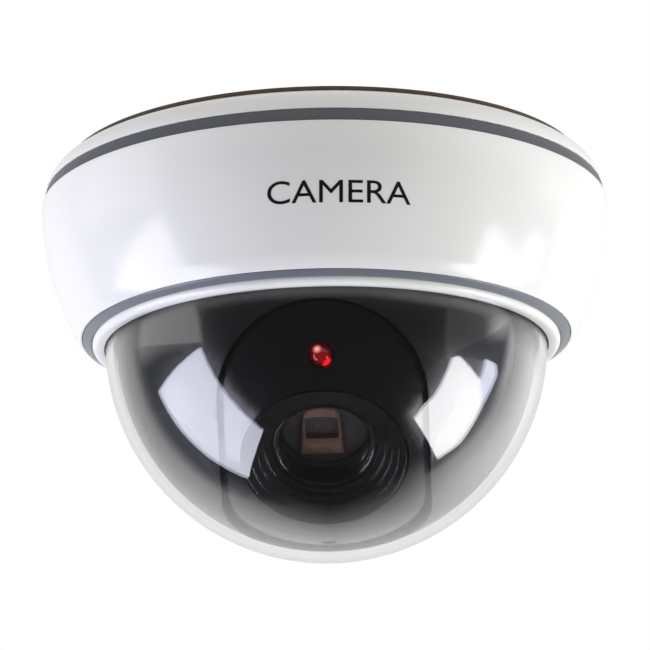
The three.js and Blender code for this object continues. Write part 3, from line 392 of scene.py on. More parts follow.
# %% [markdown]
# ## A start for every material
# Moulded, turned and printed surfaces all share two things: the colour wanders a little, and the
# skin is never quite smooth. The start below gives both. Noise on Object coordinates drives a bump
# and a little change in roughness. The pitch is the real size of the grain in millimetres.

# %% Material start


def start_material(name, colour, roughness, ior=None, metallic=0.0):
    """A Principled material with its main values, and its tree, shader and Object coordinates."""
    made = bpy.data.materials.new(name)
    made.use_nodes = True
    tree = made.node_tree
    shader = tree.nodes["Principled BSDF"]
    shader.inputs["Base Color"].default_value = linear(colour)
    shader.inputs["Roughness"].default_value = roughness
    shader.inputs["Metallic"].default_value = metallic
    if ior:
        shader.inputs["IOR"].default_value = ior
    return made, (tree, shader, add_node(tree, "TexCoord").outputs["Object"])


def grain(skin, pitch, depth, roughness=None, stretch=(1, 1, 1), detail=2.0):
    """A fine skin: noise of this pitch and depth in millimetres, and a span of roughness."""
    tree, shader, place = skin
    spread = add_node(tree, "Mapping", None, {"Scale": stretch}, {"Vector": place})
    noise = add_node(
        tree, "TexNoise", None, {"Scale": 1 / (pitch * MM), "Detail": detail},
        {"Vector": spread.outputs["Vector"]},
    )
    bump = add_node(
        tree, "Bump", None, {"Strength": 1.0, "Distance": depth * MM}, {"Height": noise.outputs["Fac"]},
    )
    tree.links.new(bump.outputs["Normal"], shader.inputs["Normal"])
    if roughness:
        span = add_node(
            tree, "MapRange", None, {"To Min": roughness[0], "To Max": roughness[1]},
            {"Value": noise.outputs["Fac"]},
        )
        tree.links.new(span.outputs["Result"], shader.inputs["Roughness"])


def mottled(skin, pitch, light, dark):
    """Colour that drifts between two near tones, over patches of this size in millimetres."""
    tree, shader, place = skin
    noise = add_node(tree, "TexNoise", None, {"Scale": 1 / (pitch * MM), "Detail": 2.0}, {"Vector": place})
    blend = add_node(
        tree, "Mix", {"data_type": "RGBA"}, {6: linear(light), 7: linear(dark)}, {0: noise.outputs["Fac"]},
    )
    tree.links.new(blend.outputs[2], shader.inputs["Base Color"])


# %% [markdown]
# ## Plastics of the cover
# The cover is injection-moulded ABS, polished in the mould, so it mirrors windows softly. ABS is a
# touch warm and has a refractive index near 1.5. The bands are the same satin grey ABS; the upper one
# is given a darker grey, as painted shade where it lies under the lip.

# %% White and grey ABS
white_abs, skin = start_material("gloss_white_abs", "#F0F0EF", 0.18, 1.49)
grain(skin, 14.0, 0.0012, (0.14, 0.21), detail=0.0)
mottled(skin, 40, "#F1F1F0", "#ECECEA")

grey_abs, skin = start_material("satin_grey_abs", "#6E737B", 0.32, 1.54)
grain(skin, 0.6, 0.004, (0.27, 0.38))
mottled(skin, 6, "#70757D", "#696E77")

# The upper band's darker grey is painted shade: the same grey ABS as it looks in the shadow under the lip.
band_abs_painted_shade, skin = start_material("satin_grey_abs_painted_shade", "#53575E", 0.42, 1.5)
grain(skin, 0.6, 0.004, (0.37, 0.48))
mottled(skin, 6, "#555960", "#4F535A")

print_ink, skin = start_material("black_pad_print_ink", "#0C0C0D", 0.35, 1.5)
grain(skin, 0.15, 0.002, (0.3, 0.45))
print("made", white_abs.name, grey_abs.name, band_abs_painted_shade.name, print_ink.name)

# %% [markdown]
# ## Clear and black plastics
# The dome is moulded polycarbonate, index 1.585, clear with a faint smoke tint. Its flow lines
# from the mould bend the softbox reflections a little. Behind it the liner and the ball are black
# ABS: the liner polished, the lens hood left with a fine spark texture that kills stray light.

# %% Polycarbonate and black ABS
clear_pc, skin = start_material("clear_polycarbonate", "#F7F8FA", 0.0, 1.585)
skin[1].inputs["Transmission Weight"].default_value = 1.0
grain(skin, 30.0, 0.0004, None, (1, 1, 0.2), 0.0)

liner_abs, skin = start_material("polished_black_abs", "#111113", 0.25, 1.54)
grain(skin, 20.0, 0.0008, (0.2, 0.32), detail=0.0)

ball_abs, skin = start_material("gloss_black_abs", "#0D0D0F", 0.16, 1.54)
grain(skin, 20.0, 0.0008, (0.12, 0.2), detail=0.0)

hood_abs, skin = start_material("spark_black_abs", "#131211", 0.18, 1.5)
grain(skin, 1.5, 0.002, (0.14, 0.22))
print("made", clear_pc.name, liner_abs.name, ball_abs.name, hood_abs.name)

# %% [markdown]
# ## Glass and the light trap
# The front lens is coated glass, index 1.52. The filter behind it is dark glass with a violet cast.
# The plate between them is matt black, and the flared frame on it is brown anodised aluminium.

# %% Lens glass, filter and plates
lens_glass, skin = start_material("coated_lens_glass", "#F3F1F6", 0.0, 1.52)
skin[1].inputs["Transmission Weight"].default_value = 1.0
grain(skin, 12, 0.001, detail=0.0)

filter_glass, skin = start_material("violet_filter_glass", "#5A565A", 0.06, 1.52)
grain(skin, 1.5, 0.002, (0.04, 0.1))
mottled(skin, 1.0, "#706A68", "#464248")

brown_plate, skin = start_material("brown_anodised_plate", "#8A6E5C", 0.4, None, 0.25)
grain(skin, 0.3, 0.006, (0.34, 0.48), (1, 6, 1))
mottled(skin, 1.8, "#A8866C", "#6A5446")

dark_plate, skin = start_material("matt_black_plate", "#3A3733", 0.5, 1.5)
grain(skin, 0.4, 0.006, (0.45, 0.6))
mottled(skin, 2.0, "#413D38", "#33302C")

print("made", lens_glass.name, filter_glass.name, brown_plate.name, dark_plate.name)

# %% [markdown]
# ## Foam, rubber, metals and the circuit boards
# What is behind the cover is seen only from the back or when the cover is off, yet each part keeps
# its own finish: closed-cell foam with small pores, moulded rubber, zinc-plated screws, a brass
# spring washer and green boards with copper tracks under the lacquer.

# %% Foam and rubber
# The foam's brown-grey is partly its own colour and partly painted shade: its thin edge above the cover
# stands for the dark contact line along the ceiling.
gasket_foam_and_shade, skin = start_material("closed_cell_foam_and_shade", "#5C5048", 0.95, 1.45)
tree, shader, place = skin
pores = add_node(tree, "TexVoronoi", None, {"Scale": 1 / (0.9 * MM)}, {"Vector": place})
dent = add_node(
    tree, "Bump", None, {"Strength": 1.0, "Distance": 0.12 * MM}, {"Height": pores.outputs["Distance"]},
)
tree.links.new(dent.outputs["Normal"], shader.inputs["Normal"])
mottled(skin, 3, "#655850", "#544840")

seal_rubber, skin = start_material("moulded_rubber", "#16171A", 0.7, 1.52)
grain(skin, 0.5, 0.02, (0.6, 0.8))

base_abs, skin = start_material("satin_white_abs", "#E1E2E3", 0.4, 1.54)
grain(skin, 0.5, 0.01, (0.34, 0.48))
mottled(skin, 15, "#E3E4E5", "#DADBDC")
print("made", gasket_foam_and_shade.name, seal_rubber.name, base_abs.name)

# %% Metals
zinc_steel, skin = start_material("zinc_plated_steel", "#B9BCC0", 0.28, None, 1.0)
grain(skin, 0.4, 0.006, (0.2, 0.38))
mottled(skin, 1.5, "#C0C2C4", "#A9ADB3")

dull_steel, skin = start_material("dull_plated_steel", "#2E3033", 0.38, None, 1.0)
grain(skin, 0.4, 0.006, (0.3, 0.46))

spring_brass, skin = start_material("rolled_brass", "#C2A35A", 0.3, None, 1.0)
grain(skin, 0.25, 0.004, (0.22, 0.4), (1, 8, 1))
mottled(skin, 5, "#C8A962", "#B08F48")

aluminium, skin = start_material("black_anodised_aluminium", "#1B1B1D", 0.35, None, 0.7)
grain(skin, 0.2, 0.003, (0.28, 0.42), (1, 1, 9))
print("made", zinc_steel.name, dull_steel.name, spring_brass.name, aluminium.name)

# %% Boards and components
board_green, skin = start_material("green_lacquered_board", "#14522F", 0.35, 1.5)
tree, shader, place = skin
tracks = add_node(
    tree, "TexBrick", None,
    {"Scale": 1 / (9 * MM), "Mortar Size": 0.03, "Color1": linear("#14522F"), "Color2": linear("#17583A"),
     "Mortar": linear("#2F7A45")},
    {"Vector": place},
)
tree.links.new(tracks.outputs["Color"], shader.inputs["Base Color"])
raised = add_node(tree, "Bump", None, {"Distance": 0.03 * MM}, {"Height": tracks.outputs["Fac"]})
tree.links.new(raised.outputs["Normal"], shader.inputs["Normal"])

chip_epoxy, skin = start_material("moulded_chip_epoxy", "#1A1A1C", 0.55, 1.55)
grain(skin, 0.12, 0.006, (0.5, 0.65))

ivory_nylon, skin = start_material("ivory_nylon", "#E4DFCE", 0.45, 1.53)
grain(skin, 0.8, 0.01, (0.4, 0.55))
mottled(skin, 5, "#E8E3D3", "#DCD6C2")

dark_sleeve, skin = start_material("dark_capacitor_sleeve", "#22242E", 0.3, 1.5)
grain(skin, 0.9, 0.01, (0.24, 0.4))

silicon, skin = start_material("sensor_silicon", "#2C2838", 0.15, 1.6)
tree, shader, place = skin
cells = add_node(
    tree, "TexBrick", None,
    {"Scale": 1 / (1.2 * MM), "Mortar Size": 0.02, "Color1": linear("#2C2838"), "Color2": linear("#332D44"),
     "Mortar": linear("#4B4460")},
    {"Vector": place},
)
tree.links.new(cells.outputs["Color"], shader.inputs["Base Color"])
print("made", board_green.name, chip_epoxy.name, ivory_nylon.name, dark_sleeve.name, silicon.name)

# %% [markdown]
# ## The hidden parts keep their shape
# Parts inside the housing are already the right shape in the frame. They only change their finish.

# %% Finishes on the frame's own parts
KEPT_FINISHES = {
    base_abs: ["base_plate"],
    board_green: ["main_board", "sensor_board", "led_board"],
    chip_epoxy: ["processor_chip"],
    ivory_nylon: ["power_socket", "video_socket"],
    dark_sleeve: ["filter_capacitor"],
    silicon: ["image_sensor"],
    spring_brass: ["friction_washer"],
    zinc_steel: [
        "board_screw_1", "board_screw_2", "board_screw_3", "pan_retainer", "hub_screw",
        "yoke_screw_right", "yoke_screw_left", "liner_screw_1", "liner_screw_2", "liner_screw_3",
        "pivot_screw_right", "pivot_screw_left", "module_screw_1", "module_screw_2",
    ],
    seal_rubber: ["dome_seal"],
    hood_abs: ["turntable", "yoke_arm_right", "yoke_arm_left", "focus_ring", "lens_holder"],
}
for finish, names in KEPT_FINISHES.items():
    for name in names:
        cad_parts[name].material_slots[0].material = finish
print(sum(len(names) for names in KEPT_FINISHES.values()), "parts refinished")

# %% [markdown]
# ## Tools for new pieces
# Almost every visible part of this object is round, and a lathe makes round things. In Blender the
# lathe is `bmesh.ops.spin`: a closed outline of radius and height pairs turns once about Z. The
# outline's sharp corners are then bevelled, because a moulded edge always has a small radius that
# catches the light. A curved outline comes from a Bezier curve or from an arc of a circle.

# %% Lathe, arc and curve
FINE = 192                        # steps round a large part
SMALL_STEPS = 48                  # steps round a small part


def arc(radius, height, start, end, steps):
    """Points of a circle about the axis, as radius and height; the angle is from the horizontal."""
    angles = [math.radians(start + (end - start) * i / steps) for i in range(steps + 1)]
    return [(radius * math.cos(a), height + radius * math.sin(a)) for a in angles]


def bezier(start, pull_start, pull_end, end, steps):
    """Points of a Bezier curve between two outline points."""
    knots = [Vector((*point, 0)) for point in (start, pull_start, pull_end, end)]
    return [(p.x, p.y) for p in interpolate_bezier(*knots, steps + 1)]


def clean(bm):
    """Joins doubled vertices and turns every face outwards."""
    bmesh.ops.remove_doubles(bm, verts=bm.verts, dist=2e-7)
    bmesh.ops.dissolve_degenerate(bm, dist=1e-7, edges=bm.edges)
    bmesh.ops.recalc_face_normals(bm, faces=bm.faces)


def spin_outline(places, axis, angle, steps):
    """Spins a closed outline of places in millimetres about an axis through the origin."""
    bm = bmesh.new()
    corners = [bm.verts.new(place * MM) for place in places]
    rim = [bm.edges.new(pair) for pair in zip(corners, corners[1:] + corners[:1])]
    whole = angle == 360.0
    spun = bmesh.ops.spin(
        bm, geom=corners + rim, cent=(0, 0, 0), axis=axis, angle=math.radians(angle),
        steps=steps, use_merge=whole,
    )
    if not whole:
        last = [e for e in spun["geom_last"] if isinstance(e, bmesh.types.BMEdge)]
        bmesh.ops.contextual_create(bm, geom=rim)
        bmesh.ops.contextual_create(bm, geom=last)
    return bm


def lathe(outline, steps=FINE, angle=360.0, start=0.0):
    """Spins an outline of radius and height about Z."""
    bm = spin_outline([Vector((r, 0, h)) for r, h in outline], (0, 0, 1), angle, steps)
    first_turn = Matrix.Rotation(math.radians(start), 3, "Z")
    bmesh.ops.rotate(bm, verts=bm.verts, cent=(0, 0, 0), matrix=first_turn)
    clean(bm)
    return bm


def soften(bm, width, segments=2, sharper_than=30):
    """Bevels the edges where two faces meet at more than this angle."""
    sharp = [
        edge for edge in bm.edges
        if len(edge.link_faces) == 2 and edge.calc_face_angle() > math.radians(sharper_than)
    ]
    bmesh.ops.bevel(
        bm, geom=sharp, offset=width * MM, offset_type="OFFSET", segments=segments,
        profile=0.5, affect="EDGES", material=-1, clamp_overlap=True,
    )
    return bm


# %% [markdown]
# ## Cutting and joining
# Holes, slots and windows are easiest to think of as one solid taken away from another. Blender
# does that with the Boolean modifier. The helper lends both solids an object for a moment, reads
# the result back and throws the objects away, so only a plain mesh is left.

# %% Boolean helper


def combine(bm, other, operation="DIFFERENCE"):
    """The first solid minus, plus or shared with the other."""
    first, second = place_mesh("first", bm), place_mesh("second", other)
    cutter = first.modifiers.new("combine", "BOOLEAN")
    cutter.operation = operation
    cutter.object = second
    cutter.solver = "EXACT"
    bpy.context.view_layer.update()
    shown = first.evaluated_get(bpy.context.evaluated_depsgraph_get())
    result = bmesh.new()
    result.from_mesh(shown.to_mesh())
    shown.to_mesh_clear()
    for used in (first, second):
        mesh = used.data
        bpy.data.objects.remove(used)
        bpy.data.meshes.remove(mesh)
    bmesh.ops.remove_doubles(result, verts=result.verts, dist=1e-7)
    return result


def rod(radius, low, high, steps=SMALL_STEPS):
    """A plain round solid about Z, used for holes."""
    bm = bmesh.new()
    bmesh.ops.create_circle(bm, cap_ends=True, segments=steps, radius=radius * MM)
    bmesh.ops.translate(bm, verts=bm.verts, vec=(0, 0, low * MM))
    top = bmesh.ops.extrude_face_region(bm, geom=bm.faces[:])
    raised = [v for v in top["geom"] if isinstance(v, bmesh.types.BMVert)]
    bmesh.ops.translate(bm, verts=raised, vec=(0, 0, (high - low) * MM))
    bmesh.ops.recalc_face_normals(bm, faces=bm.faces)
    return bm


def bar(width, depth, low, high):
    """A plain square solid about Z, used for windows and plates."""
    bm = bmesh.new()
    bmesh.ops.create_cube(bm, size=1.0)
    bmesh.ops.scale(bm, verts=bm.verts, vec=(width * MM, depth * MM, (high - low) * MM))
    bmesh.ops.translate(bm, verts=bm.verts, vec=(0, 0, (low + high) / 2 * MM))
    return bm


def moved(bm, matrix):
    """The same mesh, put somewhere else."""
    bmesh.ops.transform(bm, matrix=matrix, verts=bm.verts)
    return bm


def drill(bm, radius, low, high, where, steps=SMALL_STEPS):
    """Takes a round hole out of a solid."""
    return combine(bm, moved(rod(radius, low, high, steps), where))


# %% [markdown]
# ## From mesh to piece
# A finished piece gets smooth shading with its creases kept and its material, rides the body of the
# frame that it moves with, and hides the parts of the frame that it stands for. One helper does all
# of that and prints the piece's size.

# %% Piece helper


def make_piece(name, bm, body, slot, finish, *stands_for):
    """Turns a mesh into a piece that rides a body and stands for these parts of the frame."""
    for face in bm.faces:
        face.smooth = True
    for edge in bm.edges:
        if len(edge.link_faces) == 2:
            edge.smooth = edge.calc_face_angle(0) < math.radians(31)
    piece = place_mesh(name, bm, finish)
    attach(piece, body)
    if stands_for:
        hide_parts(*stands_for)
    size = [round(side / MM, 1) for side in piece.dimensions]
    print(f"{name}: {len(piece.data.polygons)} faces, {size} mm")
    return piece


# %% [markdown]
# ## Heights shared by the parts
# These come from the frame's own boxes, so the new pieces fit where the old ones were.

# %% Levels and radii
shell_low, shell_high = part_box("housing_shell")
dome_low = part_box("clear_dome")[0]
band_low, band_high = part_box("upper_trim_band")
bezel_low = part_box("dome_bezel")[0]
liner_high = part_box("inner_liner")[1]

SNUG = 0.1
COVER_RADIUS = shell_high.x / MM
COVER_TOP = shell_high.z / MM
RIM = shell_low.z / MM
BAND_TOP = band_high.z / MM + SNUG
BAND_BOTTOM = band_low.z / MM - SNUG
DOME_MIDDLE = RIM - 0.8
DOME_RADIUS = DOME_MIDDLE - dome_low.z / MM
DOME_WALL = 1.6
RIM_RADIUS = DOME_RADIUS + 5.5
LIP_RADIUS = 61.7
CEILING_RADIUS = 57.1
WALL = 2.2
FLOOR_UNDER = RIM + 0.9
FLOOR_TOP = FLOOR_UNDER + 2.0
LINER_RADIUS = liner_high.x / MM
LINER_INSIDE = LINER_RADIUS - 0.8
LINER_TOP = liner_high.z / MM
BALL_RADIUS = LINER_INSIDE - 0.6
BALL_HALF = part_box("camera_ball")[1].x / MM
print("cover radius", round(COVER_RADIUS, 2), "dome radius", round(DOME_RADIUS, 2),
      "liner radius", round(LINER_RADIUS, 2), "ball radius", round(BALL_RADIUS, 2))

# %% [markdown]
# ## The cover
# The cover is one moulding: a rolled lip at the ceiling, a groove for the upper band, a deep bowl
# that draws in faster and faster, a faint crease, and a rim round the dome. It could be sculpted
# from a sphere, but an outline on the lathe keeps every one of those lines crisp. Inside are the
# three bayonet tabs that lock it to the base plate.

# %% Cover shell
CREASE_RADIUS = RIM_RADIUS + 1.8
CREASE = RIM + 2.4
drop = BAND_BOTTOM - CREASE
reach = COVER_RADIUS - CREASE_RADIUS
bowl = bezier(
    (COVER_RADIUS, BAND_BOTTOM), (COVER_RADIUS, BAND_BOTTOM - 0.42 * drop),
    (CREASE_RADIUS + 0.43 * reach, CREASE + 0.24 * drop), (CREASE_RADIUS, CREASE), 40,
)
lip = bezier(
    (CEILING_RADIUS, COVER_TOP), (59.97, COVER_TOP - 0.93),
    (61.17, COVER_TOP - 2.73), (LIP_RADIUS, BAND_TOP), 14,
)
inside = [(r - WALL, h) for r, h in reversed(bowl[:-1]) if h > FLOOR_TOP + 0.5]
opening = LINER_RADIUS + 1.8
seal_inner, seal_outer = DOME_RADIUS + 0.35, DOME_RADIUS + 1.45
cover_outline = lip + [(LIP_RADIUS - 0.9, BAND_TOP), (LIP_RADIUS - 0.9, BAND_BOTTOM)] + bowl + [
    (RIM_RADIUS, RIM), (RIM_RADIUS - 0.4, RIM), (RIM_RADIUS - 0.4, FLOOR_UNDER),
    (seal_outer, FLOOR_UNDER), (seal_outer, FLOOR_UNDER + 0.45),
    (seal_inner, FLOOR_UNDER + 0.45), (seal_inner, FLOOR_UNDER),
    (opening, FLOOR_UNDER), (opening, FLOOR_TOP), (RIM_RADIUS - WALL + 0.6, FLOOR_TOP),
] + inside + [(LIP_RADIUS - WALL, BAND_TOP), (CEILING_RADIUS - WALL, COVER_TOP - 1.4),
              (CEILING_RADIUS - WALL, COVER_TOP)]
cover = soften(lathe(cover_outline), 0.12)
TAB_INNER, TAB_OUTER = 52.3, 61.4
TAB_LOW, TAB_HIGH = -12.5, -10.5
TAB_ANGLE = 14.0
tab_outline = [(TAB_INNER, TAB_LOW), (TAB_OUTER, TAB_LOW), (TAB_OUTER, TAB_HIGH), (TAB_INNER, TAB_HIGH)]
for turn in (90, 210, 330):
    tab = lathe(tab_outline, 12, TAB_ANGLE, start=turn - TAB_ANGLE / 2)
    cover = combine(cover, tab, "UNION")
make_piece("cover_shell", cover, "cover", "white_abs", white_abs, "housing_shell")

# %% [markdown]
# ## The grey bands and the white ring
# The upper band sits a hair below the white around it, so a fine shadow line shows. The lower band
# is a separate ring pressed in around the white bezel, which holds the dome with four hooks.

# %% Bands and bezel
upper = soften(lathe([
    (LIP_RADIUS - 0.8, BAND_BOTTOM + SNUG), (COVER_RADIUS - 0.15, BAND_BOTTOM + SNUG),
    (LIP_RADIUS - 0.15, BAND_TOP - SNUG), (LIP_RADIUS - 0.8, BAND_TOP - SNUG),
]), 0.1)
# Its darker grey finish is painted shade from the lip above it.
make_piece("upper_band", upper, "cover", "grey_trim", band_abs_painted_shade, "upper_trim_band")

BEZEL_INNER, BEZEL_OUTER = 50.4, 51.35
trim_outer = RIM_RADIUS - 0.5
lower = soften(lathe([
    (BEZEL_OUTER + SNUG, RIM - 1.1), (BEZEL_OUTER + 0.6, RIM - 1.1), (trim_outer - 0.3, RIM - 0.35),
    (trim_outer, RIM - 0.1), (trim_outer, FLOOR_UNDER - SNUG), (BEZEL_OUTER + SNUG, FLOOR_UNDER - SNUG),
]), 0.12)
make_piece("lower_band", lower, "cover", "grey_trim", grey_abs, "lower_trim_ring")

bezel_bottom = bezel_low.z / MM
mouth = DOME_RADIUS + 0.25
seat = DOME_MIDDLE - SNUG
rolled = [(BEZEL_OUTER - 1.3 + x, bezel_bottom + 1.3 + y) for x, y in arc(1.3, 0, -90, 0, 10)]
bezel = soften(lathe([(mouth, bezel_bottom)] + rolled + [
    (BEZEL_OUTER, FLOOR_UNDER - SNUG), (BEZEL_INNER, FLOOR_UNDER - SNUG),
    (BEZEL_INNER, seat), (mouth, seat),
]), 0.1)
hook_top = FLOOR_TOP + 1.7
for turn in (45, 135, 225, 315):
    hook = lathe([
        (BEZEL_INNER, FLOOR_UNDER - 0.5), (51.15, FLOOR_UNDER - 0.5), (51.15, hook_top - 1.2),
        (51.95, hook_top - 1.2), (51.15, hook_top), (BEZEL_INNER, hook_top),
    ], 8, 7.8, start=turn - 3.9)
    bezel = combine(bezel, hook, "UNION")
make_piece("white_bezel", bezel, "cover", "white_abs", white_abs, "dome_bezel")

# %% [markdown]
# ## The clear dome
# A dome is half a hollow ball with a flange. Both walls are needed: light bends as it enters and
# again as it leaves, and the pale band along the edge of a real dome is the wall seen edge on.
# The dome casts no shadow, so that the softboxes light what is inside it as they would through
# real polycarbonate.

# %% Dome
dome = lathe(
    arc(DOME_RADIUS, DOME_MIDDLE, -90, 0, 56)
    + [(DOME_RADIUS + 1.6, DOME_MIDDLE), (DOME_RADIUS + 1.6, DOME_MIDDLE + 1.2),
       (DOME_RADIUS - DOME_WALL, DOME_MIDDLE + 1.2)]
    + arc(DOME_RADIUS - DOME_WALL, DOME_MIDDLE, 0, -90, 56), 256,
)
dome_piece = make_piece("dome_window", dome, "cover", "clear_polycarbonate", clear_pc, "clear_dome")
dome_piece.visible_shadow = False

# %% [markdown]
# ## The liner and its slot
# The black liner turns with the lens and hides the works. The slot lets the lens tilt. Its sides
# are straight and its ends round, so three simple tools cut it: a wedge about the tilt axis for
# the middle, and a rod aimed at each end. Aiming is a turn about X, measured below the horizon.

# %% Liner
SLOT_HALF = 22.1
SLOT_FIRST, SLOT_LAST = 33.02, 73.98
CUT_FROM, CUT_TO = 30, 60         # cutting tools reach between these, measured from the middle
SCREW_CIRCLE = 42.8
SCREW_HOLE = 1.2


def aimed(angle):
    """Places something made about Z at the ball's middle, pointing this far below the horizon."""
    below = Matrix.Rotation(math.pi / 2 + math.radians(angle), 4, "X")
    return Matrix.Translation((0, 0, DOME_MIDDLE * MM)) @ below


def tilt_lathe(outline, first, last, steps):
    """Spins an outline of radius and X about the tilt axis, between two angles below the horizon."""
    out = Vector((0, -math.cos(math.radians(first)), -math.sin(math.radians(first))))
    places = [out * r + Vector((x, 0, 0)) for r, x in outline]
    bm = spin_outline(places, (1, 0, 0), last - first, steps)
    clean(bm)
    return moved(bm, Matrix.Translation((0, 0, DOME_MIDDLE * MM)))


liner = lathe(
    arc(LINER_RADIUS, DOME_MIDDLE, -90, 0, 48)
    + [(LINER_RADIUS, LINER_TOP), (LINER_INSIDE - 4.2, LINER_TOP), (LINER_INSIDE - 4.2, LINER_TOP - 1.4),
       (LINER_INSIDE, LINER_TOP - 1.4)]
    + arc(LINER_INSIDE, DOME_MIDDLE, 0, -90, 48),
)
wedge = tilt_lathe(
    [(CUT_FROM, -SLOT_HALF), (CUT_TO, -SLOT_HALF), (CUT_TO, SLOT_HALF), (CUT_FROM, SLOT_HALF)],
    SLOT_FIRST, SLOT_LAST, 24,
)
liner = combine(liner, wedge)
for angle in (SLOT_FIRST, SLOT_LAST):
    liner = drill(liner, SLOT_HALF, CUT_FROM, CUT_TO, aimed(angle), 96)
for turn in (90, 210, 330):
    spot = Matrix.Rotation(math.radians(turn), 4, "Z") @ Matrix.Translation((SCREW_CIRCLE * MM, 0, 0))
    liner = drill(liner, SCREW_HOLE, LINER_TOP - 3, LINER_TOP + 1, spot, 24)
make_piece("black_liner", liner, "pan_unit", "gloss_black_abs", liner_abs, "inner_liner")

# %% [markdown]
# ## The ball
# The ball fills the slot and swings in it. It isn't a whole ball, only a band as wide as the slot,
# bent round the tilt axis, with flat cheeks that reach in to the pivots. So its section is a
# channel, and the channel is spun about the tilt axis. Then the holes for the hood, the lamp, the
# pivots and the small screw at the bottom are cut.

# %% Ball
BALL_WALL = 1.6
BALL_FIRST, BALL_LAST = -13.48, 124.7
LENS_AIM = 52.0
LAMP_AIM = 19.27
HOOD_RADIUS = 17.4
PIVOT_BOSS, PIVOT_HOLE = 8, 2.7
LAMP_HOLE = 2.8
BOTTOM_HOLE = 1.85
lean = math.degrees(math.asin(BALL_HALF / BALL_RADIUS))
lean_in = math.degrees(math.asin(BALL_HALF / (BALL_RADIUS - BALL_WALL)))
channel = (
    arc(BALL_RADIUS, 0, -lean, lean, 24) + [(3, BALL_HALF), (3, BALL_HALF - BALL_WALL)]
    + arc(BALL_RADIUS - BALL_WALL, 0, lean_in - 2.6, 2.6 - lean_in, 24)
    + [(3, BALL_WALL - BALL_HALF), (3, -BALL_HALF)]
)
ball = tilt_lathe(channel, BALL_FIRST, BALL_LAST, 72)
across = Matrix.Translation((0, 0, DOME_MIDDLE * MM)) @ Matrix.Rotation(math.pi / 2, 4, "Y")
for side in (1, -1):
    cheek = sorted((side * BALL_HALF, side * (BALL_HALF - BALL_WALL)))
    ball = combine(ball, moved(rod(PIVOT_BOSS, *cheek), across), "UNION")
ball = drill(ball, PIVOT_HOLE, -CUT_FROM, CUT_FROM, across)
ball = drill(ball, HOOD_RADIUS + 0.3, CUT_FROM + 2, CUT_TO, aimed(LENS_AIM), 128)
ball = drill(ball, LAMP_HOLE, CUT_FROM, CUT_TO, aimed(LAMP_AIM))
ball = drill(ball, BOTTOM_HOLE, CUT_FROM, CUT_TO, aimed(90))
make_piece("tilt_ball", ball, "tilt_unit", "gloss_black_abs", ball_abs, "camera_ball")

bulkhead = soften(bar(41, 27, 14.1, 16.1), 0.3)
bulkhead = combine(bulkhead, rod(11.2, 0, 30))
for x, y in ((10, 10), (-10, -10)):
    bulkhead = combine(bulkhead, moved(rod(1.3, 0, 30, 24), Matrix.Translation((x * MM, y * MM, 0))))
bulkhead = moved(bulkhead, aimed(LENS_AIM))
make_piece("module_bulkhead", bulkhead, "tilt_unit", "gloss_black_abs", hood_abs)

# %% [markdown]
# ## The lens hood
# A hood is a funnel with steps inside. Light that comes in sideways hits a step and is lost. From
# the front the steps read as fine rings round the glass.

# %% Hood


def lens_piece(name, bm, slot, finish, *stands_for):
    """A piece made about Z, turned to the lens's axis; it tilts with the lens."""
    return make_piece(name, moved(bm, aimed(LENS_AIM)), "tilt_unit", slot, finish, *stands_for)


HOOD_RIM = 0.4                    # how far the mouth stands out of the ball
HOOD_DEPTH = 6.4
HOOD_BORE = 9.8
HOOD_WALL = 1.4
LENS_EDGE = 2
STEPS = 5
mouth_at = math.sqrt(BALL_RADIUS ** 2 - HOOD_RADIUS ** 2) + HOOD_RIM
glass_at = mouth_at - HOOD_DEPTH
rise = (mouth_at - glass_at) / (STEPS + 1)
tread = (HOOD_RADIUS - HOOD_RIM - HOOD_BORE) / STEPS
stairs = []
for i in range(STEPS, 0, -1):
    radius = HOOD_BORE + i * tread
    stairs += [(radius, glass_at + (i + 1) * rise), (radius, glass_at + i * rise)]
hood = soften(lathe([
    (HOOD_BORE, glass_at - LENS_EDGE), (HOOD_BORE + HOOD_WALL, glass_at - LENS_EDGE),
    (HOOD_BORE + HOOD_WALL, glass_at), (HOOD_RADIUS, mouth_at - HOOD_WALL), (HOOD_RADIUS, mouth_at),
] + stairs + [(HOOD_BORE, glass_at + rise)]), 0.16)
lens_piece("stepped_hood", hood, "black_abs", hood_abs, "lens_hood")

# %% [markdown]
# ## The lens and what is behind it
# The front element bulges a little, and a polished ring keeps it in the hood. Behind it are a dark
# barrel with turned grooves, a black plate with a window, a flared brown frame round that window,
# and the filter. They are small, but the eye goes straight to them.

# %% Lens, barrel, plate and filter
LENS_RADIUS = 9.5
BULGE = 1.5
curve_radius = (LENS_RADIUS ** 2 + BULGE ** 2) / (2 * BULGE)
half_angle = math.degrees(math.asin(LENS_RADIUS / curve_radius))
crown = arc(curve_radius, glass_at + BULGE - curve_radius, 90, 90 - half_angle, 16)
crown[0] = (0, glass_at + BULGE)
lens = lathe(crown + [(LENS_RADIUS, glass_at - LENS_EDGE), (0, glass_at - LENS_EDGE)], 96)
glass = lens_piece("front_element", lens, "lens_glass", lens_glass, "front_lens")
glass.visible_shadow = False

BARREL_OUTER, BARREL_BORE, BARREL_LENGTH = 10.9, 8.6, 19.8
CLEARANCE = 0.3
GROOVE_BOTTOM = BARREL_BORE + 0.25
barrel_front = glass_at - LENS_EDGE - CLEARANCE
barrel_back = barrel_front - BARREL_LENGTH
grooves = []
for i in range(6):
    level = barrel_front - 5.5 - i * 0.6
    grooves += [(BARREL_BORE, level), (GROOVE_BOTTOM, level - 0.15), (GROOVE_BOTTOM, level - 0.3),
                (BARREL_BORE, level - 0.45)]
barrel = lathe([
    (BARREL_OUTER, barrel_back), (BARREL_OUTER, barrel_front), (BARREL_BORE, barrel_front),
] + grooves + [(BARREL_BORE, barrel_back)], 96)
lens_piece("lens_tube", barrel, "anodised_aluminium", aluminium, "lens_barrel")

